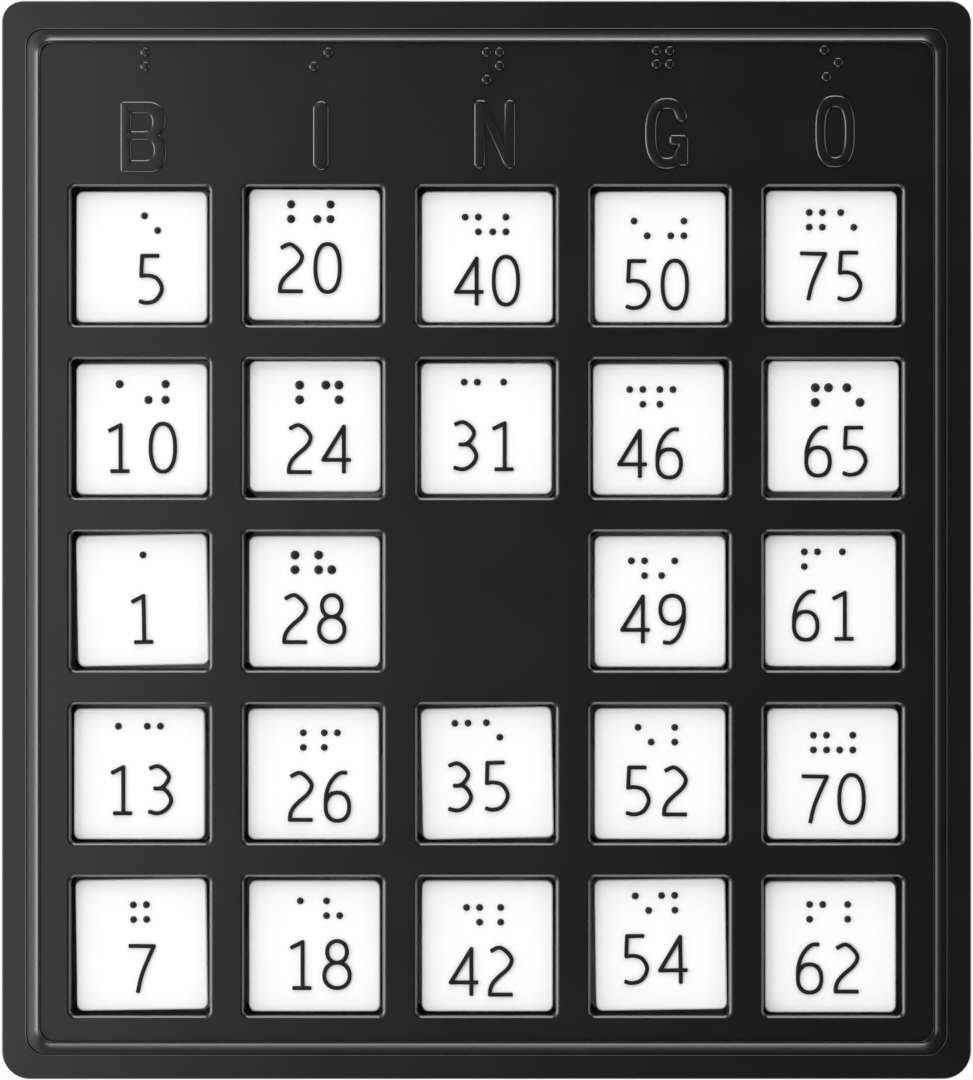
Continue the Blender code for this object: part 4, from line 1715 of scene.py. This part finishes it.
@dataclass
class TilePrint:
    """Raised black figures and braille dots on the number tiles."""

    figure_height: float = 8.95
    stroke: float = 0.78
    relief: Relief = Relief(height=0.34, root=0.1, edge=0.2)
    dot_radius: float = 0.5
    dot_height: float = 0.45
    dot_root: float = 0.1
    dome_steps: int = 5
    turn_steps: int = 16

    FIGURES = {
        "1": (
            Stroke(((-0.21, 0.85), (0.05, 0.98)), end=End.ROUND),
            Stroke(((0.05, 0.98), (0.05, 0.0)), start=End.ROUND, end=End.ROUND),
            Stroke(((-0.17, 0.0), (0.24, 0.0))),
        ),
        "2": (
            Stroke(
                (
                    (-0.22, 0.92), (-0.01, 1.0), (0.23, 0.77), (0.21, 0.64), (0.12, 0.52),
                    (-0.04, 0.38), (-0.16, 0.25), (-0.22, 0.12), (-0.23, 0.0),
                ),
                smooth=True,
                end=End.ROUND,
            ),
            Stroke(((-0.23, 0.0), (0.26, 0.0)), start=End.ROUND),
        ),
        "3": (
            Stroke(
                (
                    (-0.24, 0.95), (-0.04, 1.0), (0.18, 0.79), (0.11, 0.62), (-0.01, 0.53), (-0.15, 0.53),
                ),
                smooth=True,
            ),
            Stroke(
                (
                    (-0.03, 0.53), (0.08, 0.51), (0.18, 0.41), (0.23, 0.27), (0.14, 0.10), (-0.05, 0.0),
                    (-0.26, 0.04),
                ),
                smooth=True,
                start=End.ROUND,
            ),
        ),
        "4": (
            Stroke(((0.16, 0.97), (-0.28, 0.26)), start=End.ROUND, end=End.ROUND),
            Stroke(((-0.28, 0.26), (0.31, 0.26)), start=End.ROUND),
            Stroke(((0.16, 0.97), (0.16, -0.03)), start=End.ROUND),
        ),
        "5": (
            Stroke(((0.18, 1.0), (-0.19, 1.00)), end=End.ROUND),
            Stroke(((-0.19, 1.00), (-0.21, 0.57)), start=End.ROUND, end=End.ROUND),
            Stroke(
                (
                    (-0.21, 0.57), (-0.06, 0.58), (0.12, 0.52), (0.23, 0.30), (0.10, 0.06), (-0.10, 0.0),
                    (-0.26, 0.04),
                ),
                smooth=True,
                start=End.ROUND,
            ),
        ),
        "6": (
            Stroke(
                (
                    (0.21, 1.0), (0.07, 1.00), (-0.07, 0.90), (-0.18, 0.73), (-0.24, 0.52), (-0.25, 0.32),
                ),
                smooth=True,
                end=End.ROUND,
            ),
            Oval((0.0, 0.28), (0.25, 0.3)),
        ),
        "7": (
            Stroke(((-0.28, 0.98), (0.26, 0.97)), end=End.ROUND),
            Stroke(
                ((0.26, 0.97), (0.11, 0.65), (-0.02, 0.32), (-0.1, -0.02)), smooth=True, start=End.ROUND
            ),
        ),
        "8": (Oval((0.00, 0.77), (0.21, 0.23), 2.1), Oval((0.0, 0.27), (0.27, 0.27), 2.1)),
        "9": (
            Oval((0.0, 0.69), (0.25, 0.3)),
            Stroke(
                (
                    (0.25, 0.69), (0.25, 0.5), (0.21, 0.31), (0.11, 0.10), (-0.03, -0.01), (-0.2, 0.0),
                ),
                smooth=True,
                start=End.ROUND,
            ),
        ),
        "0": (Oval((0.0, 0.5), (0.26, 0.51)),),
    }

    LABELS = {
        5: TileLabel(1.75, -4.25, 0.5),
        20: TileLabel(-1.0, -2.5, -4.5, 5.0, dot=1.6),
        40: TileLabel(0.0, -4.5, -4.25, 5.25),
        50: TileLabel(-0.75, -5.25, -5.0, 7.0),
        75: TileLabel(0.0, -3.75, -4.25, 6.0),
        10: TileLabel(-0.25, -3.5, -4.25, 5.5, figure_pitch=8.5, dot=1.6, pitch=(3.25, 3.0)),
        24: TileLabel(0.5, -4.25, -3.0, 5.0, dot=1.75),
        31: TileLabel(-0.5, -3.25, -4.25, 7.5),
        46: TileLabel(-1.5, -4.5, -5.5, 5.75),
        65: TileLabel(0.5, -4.75, -3.5, 6.0, dot=1.75),
        1: TileLabel(-0.25, -3.5, 0.25),
        28: TileLabel(-0.25, -3.25, -3.75, 4.5, dot=1.75),
        49: TileLabel(-1.25, -3.25, -5.5, 5.75, dots_above=11.0),
        61: TileLabel(-1.25, -2.75, -5.0, 7.25),
        13: TileLabel(0.25, -3.0, -4.0, 5.5, figure_pitch=7.5),
        26: TileLabel(1.0, -4.25, -2.0, 4.0),
        35: TileLabel(-1.75, -2.5, -6.0, 6.0),
        52: TileLabel(-0.75, -3.25, -4.25, 7.0),
        70: TileLabel(0.0, -4.75, -3.75, 5.0),
        7: TileLabel(0.0, -4.5, -1.5),
        18: TileLabel(0.75, -3.5, -2.75, 5.0),
        42: TileLabel(-1.0, -4.75, -4.0, 6.5),
        54: TileLabel(-1.25, -2.75, -4.75, 5.0),
        62: TileLabel(-0.5, -4.0, -4.0, 7.25),
    }

    def figure_meshes(self) -> dict[str, bpy.types.Mesh]:
        """One mesh for each of the ten figures, its foot line at Y zero."""
        meshes = {}
        for figure, lines in self.FIGURES.items():
            patches = [line.patch(self.figure_height, self.stroke) for line in lines]
            piece = Workshop.object_for(f"figure_{figure}", self.relief.mesh(f"figure_{figure}", patches))
            meshes[figure] = Workshop.shaded(piece).data
            Workshop.discard(piece)
        return meshes

    def number(self, number: int, meshes: dict[str, bpy.types.Mesh], tile: Matrix) -> bpy.types.Object:
        """The raised number of one tile.

        Args:
            number: The number.
            meshes: A mesh for each figure.
            tile: Where the tile's face lies.

        Returns:
            One object with all the number's figures.
        """
        label = self.LABELS[number]
        foot = label.level - self.figure_height / 2
        bm = bmesh.new()
        figures = str(number)
        for figure, x in zip(figures, label.figure_places(len(figures))):
            copy = meshes[figure].copy()
            copy.transform(tile @ Matrix.Translation((x * MM, foot * MM, 0)))
            bm.from_mesh(copy)
            bpy.data.meshes.remove(copy)
        mesh = bpy.data.meshes.new(f"number_{number:02d}")
        bm.to_mesh(mesh)
        bm.free()
        return Workshop.shaded(Workshop.object_for(f"number_{number:02d}", mesh))

    def dome(self) -> bpy.types.Object:
        """A dot one millimetre across, rooted in the tile's face."""
        radius = self.dot_radius
        sphere = (radius**2 + self.dot_height**2) / (2 * self.dot_height)
        spread = math.asin(radius / sphere)
        profile = []
        for step in range(self.dome_steps + 1):
            angle = spread * step / self.dome_steps
            z = self.dot_height - sphere * (1 - math.cos(angle))
            profile.append((sphere * math.sin(angle) * MM, z * MM))
        profile += [(radius * MM, -self.dot_root * MM), (0, -self.dot_root * MM)]
        return Workshop.lathe("dot_pattern", profile, self.turn_steps)

    def braille(
        self,
        number: int,
        scatter: ScatterTree,
        pattern: bpy.types.Object,
        tile: Matrix,
        finish: bpy.types.Material,
    ) -> bpy.types.Object:
        """The dots of one tile.

        Args:
            number: The number that they spell.
            scatter: The shared tree that sets shapes at places.
            pattern: The dome.
            tile: Where the tile's face lies.
            finish: The material of the dots.

        Returns:
            One object with all the tile's dots.
        """
        label = self.LABELS[number]
        places = []
        figures = str(number)
        for figure, first in zip(figures, label.cell_places(len(figures))):
            places += Braille.dots(Braille.FIGURES[figure], first, label.pitch)
        mesh = bpy.data.meshes.new(f"dots_{number:02d}")
        mesh.from_pydata([tile @ Vector((x * MM, y * MM, 0)) for x, y in places], [], [])
        dots = Workshop.object_for(f"dots_{number:02d}", mesh)
        scatter.run_on(dots, {"Pattern": pattern, "Share Of Size": label.dot, "Finish": finish})
        return Workshop.shaded(dots)


@dataclass
class TileSet:
    """All number tiles with their print, each lying a little loose in its window."""

    layout: Layout
    tile: NumberTile
    print: TilePrint = field(default_factory=TilePrint)

    # How a tile lies, in rough steps: shares of its play to the right and upwards, and of its largest turn.
    USUAL_PLACE = (0.3, -0.2, 0.0)
    ODD_PLACES = {
        20: (0.25, 0.5, -0.1), 75: (-0.25, 0.0, -0.1), 24: (0.5, 0.75, 0.0), 31: (0.0, 0.0, 0.0),
        46: (-0.25, -0.25, 0.0), 65: (0.5, 0.75, 0.0), 1: (0.5, 0.25, 0.4), 61: (-0.5, 0.0, 0.0),
        13: (-0.5, -0.25, 0.0), 26: (0.0, -0.25, 0.0), 35: (0.25, 0.0, 0.4), 7: (0.25, 0.25, 0.3),
        54: (0.5, 0.25, 0.3), 62: (-0.5, -0.5, 0.0),
    }

    def place(self, number: int, centre: Point) -> Matrix:
        """Where a loose tile stands on its flange.

        Args:
            number: The tile's number.
            centre: The middle of its window.

        Returns:
            The tile's matrix.
        """
        play = self.layout.tile_play
        binding = math.atan(play / (self.layout.tile_side / 2))
        x, y, turn = self.ODD_PLACES.get(number, self.USUAL_PLACE)
        shift = Matrix.Translation((centre[0] + x * play, centre[1] + y * play, self.layout.flange_bottom))
        return shift @ Matrix.Rotation(turn * binding, 4, "Z")

    def build(self, scatter: ScatterTree, finishes: Finishes) -> int:
        """Make every tile with its print, dressed and riding on its own body.

        Args:
            scatter: The shared tree that sets shapes at places.
            finishes: All finishes.

        Returns:
            How many pieces were made.
        """
        pattern = self.tile.pattern()
        figures = self.print.figure_meshes()
        dome = self.print.dome()
        count = 0
        for number, centre in self.layout.numbered_cells().items():
            place = self.place(number, centre)
            cap = Workshop.object_for(f"tile_{number:02d}_cap", pattern.data.copy())
            cap.data.transform(place)
            face = place @ Matrix.Translation((0, 0, self.layout.tile_height))
            raised = self.print.number(number, figures, face)
            dots = self.print.braille(number, scatter, dome, face, finishes.materials["print"])
            finishes.dress(cap, "white", Slot.WHITE)
            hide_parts(f"number_tile_{number:02d}")
            for piece in (raised, dots):
                finishes.dress(piece, "print", Slot.BLACK)
            for piece in (cap, raised, dots):
                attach(piece, f"tile_{number:02d}")
                count += 1
        Workshop.discard(pattern, dome)
        return count


@dataclass(frozen=True)
class HeaderCell:
    """One column's head, in millimetres: the letter's middle, and its braille cell."""

    letter: str
    middle: Point
    first_dot: Point
    pitch: Point = (2.56, 2.7)
    lean: float = 0.0


@dataclass
class HeaderPrint:
    """Raised column letters and flat-topped braille pegs on the face plate's header."""

    layout: Layout
    relief: Relief = Relief(height=0.42, root=0.15, edge=0.34, steps=3, fall=0.85)
    peg_radius: float = 0.9
    peg_height: float = 0.5
    peg_edge: float = 0.32
    peg_root: float = 0.15
    edge_steps: int = 5
    turn_steps: int = 28

    FULLNESS = 0.88

    CELLS = (
        HeaderCell("B", (-65.1, 76.5), (-64.8, 92.6)),
        HeaderCell("I", (-31.45, 76.75), (-32.8, 92.6), (2.7, 2.7)),
        HeaderCell("N", (1.55, 77.0), (0.0, 92.6), (2.47, 2.6)),
        HeaderCell("G", (34.15, 77.2), (32.25, 92.85), (2.5, 2.52)),
        HeaderCell("O", (66.15, 77.55), (64.1, 93.0), (2.47, 2.55), 4.5),
    )

    @classmethod
    def bowl(
        cls, left: float, right: float, low: float, high: float, start: float, corner: float = 0.25
    ) -> Loop:
        """A D shape: eased square on the left, round on the right.

        Args:
            left: Its left side.
            right: Its right side.
            low: Its lower side.
            high: Its upper side.
            start: Where its round part starts.
            corner: The radius of its left corners.

        Returns:
            Points, counter-clockwise.
        """
        steps, corner_steps = 16, 3
        middle, reach = (low + high) / 2, (high - low) / 2
        points = []
        for step in range(steps + 1):
            angle = math.pi * (step / steps - 0.5)
            cosine, sine = math.cos(angle), math.sin(angle)
            x = start + (right - start) * max(cosine, 0) ** cls.FULLNESS
            points.append((x, middle + reach * math.copysign(abs(sine) ** cls.FULLNESS, sine)))
        for quarter, centre_y in ((1, high - corner), (2, low + corner)):
            for step in range(corner_steps + 1):
                angle = math.pi / 2 * (quarter + step / corner_steps)
                points.append((left + corner + corner * math.cos(angle), centre_y + corner * math.sin(angle)))
        return points

    def letter_patches(self, letter: str) -> list[Patch]:
        """The areas of a plain rounded capital, in millimetres from its middle.

        Args:
            letter: One of the five column letters.

        Returns:
            The patches that make it.
        """
        if letter == "B":
            corner = 0.45
            upper = (self.bowl(-4.35, 4.2, -0.2, 6.7, 0.75, corner), self.bowl(-2.3, 1.65, 1.1, 4.45, 0.2))
            lower = (self.bowl(-4.35, 4.35, -6.7, 0.95, 1.2, corner), self.bowl(-2.3, 1.95, -4.4, -0.6, 0.3))
            return [Patch(upper), Patch(lower)]
        if letter == "I":
            stem = 2.95
            return [Stroke(((0.0, 5.1), (0.0, -5.1)), start=End.ROUND, end=End.ROUND).patch(1.0, stem)]
        if letter == "N":
            stem, diagonal = 2.05, 1.75
            left = Stroke(((-2.86, 5.5), (-2.86, -5.5)), start=End.ROUND, end=End.ROUND)
            right = Stroke(((2.86, 5.5), (2.86, -5.5)), start=End.ROUND, end=End.ROUND)
            slant = Stroke(((-2.3, 5.6), (2.45, -5.3)), start=End.ROUND, end=End.ROUND)
            return [left.patch(1.0, stem), right.patch(1.0, stem), slant.patch(1.0, diagonal)]
        if letter == "G":
            curve, spur = 2.1, 1.85
            arch = [(3.11 * x + 0.1, 5.68 * y - 0.03) for x, y in self.arch(30, 330)]
            hook = Stroke(tuple(arch), start=End.ROUND, end=End.ROUND)
            bar = Stroke(((0.6, -1.25), (3.2, -1.25)), end=End.ROUND)
            stem = Stroke(((3.2, -1.25), (3.2, -6.15)), start=End.ROUND)
            return [hook.patch(1.0, curve), bar.patch(1.0, spur), stem.patch(1.0, spur)]
        outer = superoval((0.0, 0.0), (3.75, 6.82), 2.7)
        inner = superoval((0.0, -0.15), (1.86, 4.75), 2.6)
        return [Patch((outer, inner))]

    @staticmethod
    def arch(start: float, stop: float, power: float = 2.5, steps: int = 60) -> Loop:
        """Part of a full oval about the origin, from one angle to another in degrees."""
        angles = [math.radians(start + (stop - start) * step / steps) for step in range(steps + 1)]
        return [superoval_point(angle, power) for angle in angles]

    def peg(self) -> bpy.types.Object:
        """A low flat-topped peg with a rounded edge."""
        edge = [
            (self.peg_radius - self.peg_edge * (1 - sine), self.peg_height - self.peg_edge * (1 - cosine))
            for cosine, sine in quarter_arc(self.edge_steps)
        ]
        foot = -self.peg_root
        profile = [(0.0, self.peg_height), *edge, (self.peg_radius, foot), (0.0, foot)]
        scaled = [(radius * MM, height * MM) for radius, height in profile]
        return Workshop.lathe("peg_pattern", scaled, self.turn_steps)

    def build(self, scatter: ScatterTree, finishes: Finishes) -> int:
        """Make the letters and pegs of every column head.

        Args:
            scatter: The shared tree that sets shapes at places.
            finishes: All finishes.

        Returns:
            How many pieces were made.
        """
        top = self.layout.plate_top
        pieces = []
        places = []
        for cell in self.CELLS:
            mesh = self.relief.mesh(f"column_letter_{cell.letter}", self.letter_patches(cell.letter))
            mesh.transform(Matrix.Translation((cell.middle[0] * MM, cell.middle[1] * MM, top)))
            pieces.append(Workshop.shaded(Workshop.object_for(mesh.name, mesh)))
            lean = Matrix.Rotation(math.radians(cell.lean), 2)
            first = Vector(cell.first_dot)
            for dot in Braille.dots(Braille.LETTERS[cell.letter], cell.first_dot, cell.pitch):
                x, y = first + lean @ (Vector(dot) - first)
                places.append((x * MM, y * MM))
        peg = self.peg()
        pegs = Workshop.places("column_pegs", places, top)
        scatter.run_on(pegs, {"Pattern": peg, "Share Of Size": 1.0, "Finish": finishes.materials["black"]})
        Workshop.discard(peg)
        pieces.append(Workshop.shaded(pegs))
        for piece in pieces:
            finishes.dress(piece, "black", Slot.BLACK)
            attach(piece, "board")
        return len(pieces)


@dataclass(frozen=True)
class SoftBox:
    """A rectangular lamp that faces the board: its direction, distance, size and brightness."""

    name: str
    tilt: float
    heading: float
    width: float
    height: float
    brightness: float
    distance: float = 3.0

    def hang(self) -> None:
        """Add the lamp, turned towards the middle of the board."""
        lamp = bpy.data.lights.new(self.name, "AREA")
        lamp.shape = "RECTANGLE"
        lamp.size = self.width
        lamp.size_y = self.height
        lamp.energy = self.brightness * math.pi * self.width * self.height
        holder = bpy.data.objects.new(self.name, lamp)
        tilt, heading = math.radians(self.tilt), math.radians(self.heading)
        level = math.sin(tilt)
        direction = Vector((level * math.cos(heading), level * math.sin(heading), math.cos(tilt)))
        holder.location = direction * self.distance
        holder.rotation_euler = direction.to_track_quat("Z", "Y").to_euler()
        bpy.context.scene.collection.objects.link(holder)


@dataclass
class Studio:
    """The camera straight above, the soft lamps, the white table and the pale surroundings."""

    layout: Layout
    camera_distance: float = 550.0 * MM
    view_width: float = 184.72 * MM
    sensor: float = 36.0
    nearest_view: float = 10.0 * MM
    table_size: float = 6.0
    table_tone: float = 0.82
    table_glow: float = 0.9
    ceiling: float = 0.014
    walls: float = 0.3
    wall_power: float = 4.0
    lamps: tuple[SoftBox, ...] = (
        SoftBox("key", tilt=75.0, heading=180.0, width=2.4, height=3.0, brightness=7.0),
        SoftBox("overhead", tilt=30.0, heading=180.0, width=2.5, height=2.0, brightness=1.5),
        SoftBox("far_side", tilt=75.0, heading=90.0, width=2.5, height=3.0, brightness=6.5),
        SoftBox("near_side", tilt=72.0, heading=270.0, width=2.5, height=3.0, brightness=3.5),
        SoftBox("right_side", tilt=75.0, heading=0.0, width=2.5, height=2.5, brightness=2.5),
    )

    def camera(self) -> None:
        """Look straight down at the plate from the photograph's distance."""
        data = bpy.data.cameras.new("photo_camera")
        data.sensor_fit = "HORIZONTAL"
        data.sensor_width = self.sensor
        data.lens = self.sensor * self.camera_distance / self.view_width
        data.clip_start = self.nearest_view
        camera = bpy.data.objects.new("photo_camera", data)
        camera.location = (0, 0, self.layout.plate_top + self.camera_distance)
        bpy.context.scene.collection.objects.link(camera)
        bpy.context.scene.camera = camera

    def table(self) -> None:
        """A white table that keeps the board's shadow, near white to the camera and in reflections."""
        bm = bmesh.new()
        half = self.table_size / 2
        bm.faces.new([bm.verts.new((x * half, y * half, 0)) for x, y in ((-1, -1), (1, -1), (1, 1), (-1, 1))])
        table = Workshop.object_for("white_table", Workshop.mesh_from("white_table", bm))
        material = bpy.data.materials.new("white_table")
        material.use_nodes = True
        nodes = material.node_tree.nodes
        nodes.clear()
        build = TreeBuilder(material.node_tree)
        paper = build.add("ShaderNodeBsdfDiffuse", {"Color": (*[self.table_tone] * 3, 1.0)})
        glow = build.add("ShaderNodeEmission", {"Color": WHITE_LIGHT, "Strength": 1.0})
        share = build.maths("MULTIPLY", self.seen(build), self.table_glow)
        mix = build.add("ShaderNodeMixShader", {0: share, 1: paper.outputs[0], 2: glow.outputs[0]})
        build.add("ShaderNodeOutputMaterial", {"Surface": mix.outputs[0]})
        table.data.materials.append(material)

    @staticmethod
    def seen(build: TreeBuilder) -> bpy.types.NodeSocket:
        """One for rays from the camera and through gloss or glass, and zero for light on the object."""
        path = build.add("ShaderNodeLightPath").outputs
        gloss = build.maths("MAXIMUM", path["Is Glossy Ray"], path["Is Transmission Ray"])
        return build.maths("MAXIMUM", path["Is Camera Ray"], gloss)

    def world(self) -> None:
        """A dim room, lighter towards the horizon, as light on the object, and white to the camera."""
        world = bpy.data.worlds.new("pale_studio")
        world.use_nodes = True
        world.node_tree.nodes.clear()
        build = TreeBuilder(world.node_tree)
        path = build.add("ShaderNodeLightPath").outputs
        direction = build.add("ShaderNodeTexCoord").outputs["Generated"]
        height = build.add("ShaderNodeSeparateXYZ", {"Vector": direction}).outputs["Z"]
        low = build.maths("SUBTRACT", 1.0, build.maths("ABSOLUTE", height))
        walls = build.maths("MULTIPLY", build.maths("POWER", low, self.wall_power), self.walls)
        strength = build.maths("ADD", walls, self.ceiling)
        room = build.add("ShaderNodeBackground", {"Color": WHITE_LIGHT, "Strength": strength})
        white = build.add("ShaderNodeBackground", {"Color": WHITE_LIGHT, "Strength": 1.0})
        sides = {0: path["Is Camera Ray"], 1: room.outputs[0], 2: white.outputs[0]}
        mix = build.add("ShaderNodeMixShader", sides)
        build.add("ShaderNodeOutputWorld", {"Surface": mix.outputs[0]})
        bpy.context.scene.world = world

    def build(self) -> None:
        """Set up the whole studio."""
        bpy.context.scene.view_settings.view_transform = "Standard"
        self.camera()
        self.table()
        self.world()
        for lamp in self.lamps:
            lamp.hang()


def main() -> None:
    """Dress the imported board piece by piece, and set up the studio round it."""
    logging.basicConfig(level=logging.INFO, format="%(message)s")
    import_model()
    layout = Layout()
    Studio(layout).build()
    finishes = Finishes()
    panel = PanelTree()
    scatter = ScatterTree()

    frame = BezelFrame(layout)
    frame.dress(frame.build(), finishes)
    LOG.info("moulded frame lofted")
    plate = FacePlate(layout)
    plate.dress(plate.build(panel, finishes.materials["black"]), finishes)
    LOG.info("face plate cut")
    cover = BackCover(layout)
    cover.dress(cover.build(panel, finishes.materials["back"]), finishes)
    LOG.info("back cover cut")
    screws = CoverScrews(layout)
    screws.dress(screws.build(scatter, finishes.materials["steel"]), finishes)
    feet = RubberFeet(layout)
    feet.dress(feet.build(scatter, finishes.materials["rubber"]), finishes)
    LOG.info("screws and feet set")
    tiles = TileSet(layout, NumberTile(layout))
    LOG.info("tiles: %d pieces", tiles.build(scatter, finishes))
    header = HeaderPrint(layout)
    LOG.info("header: %d pieces", header.build(scatter, finishes))


if __name__ == "__main__":
    main()
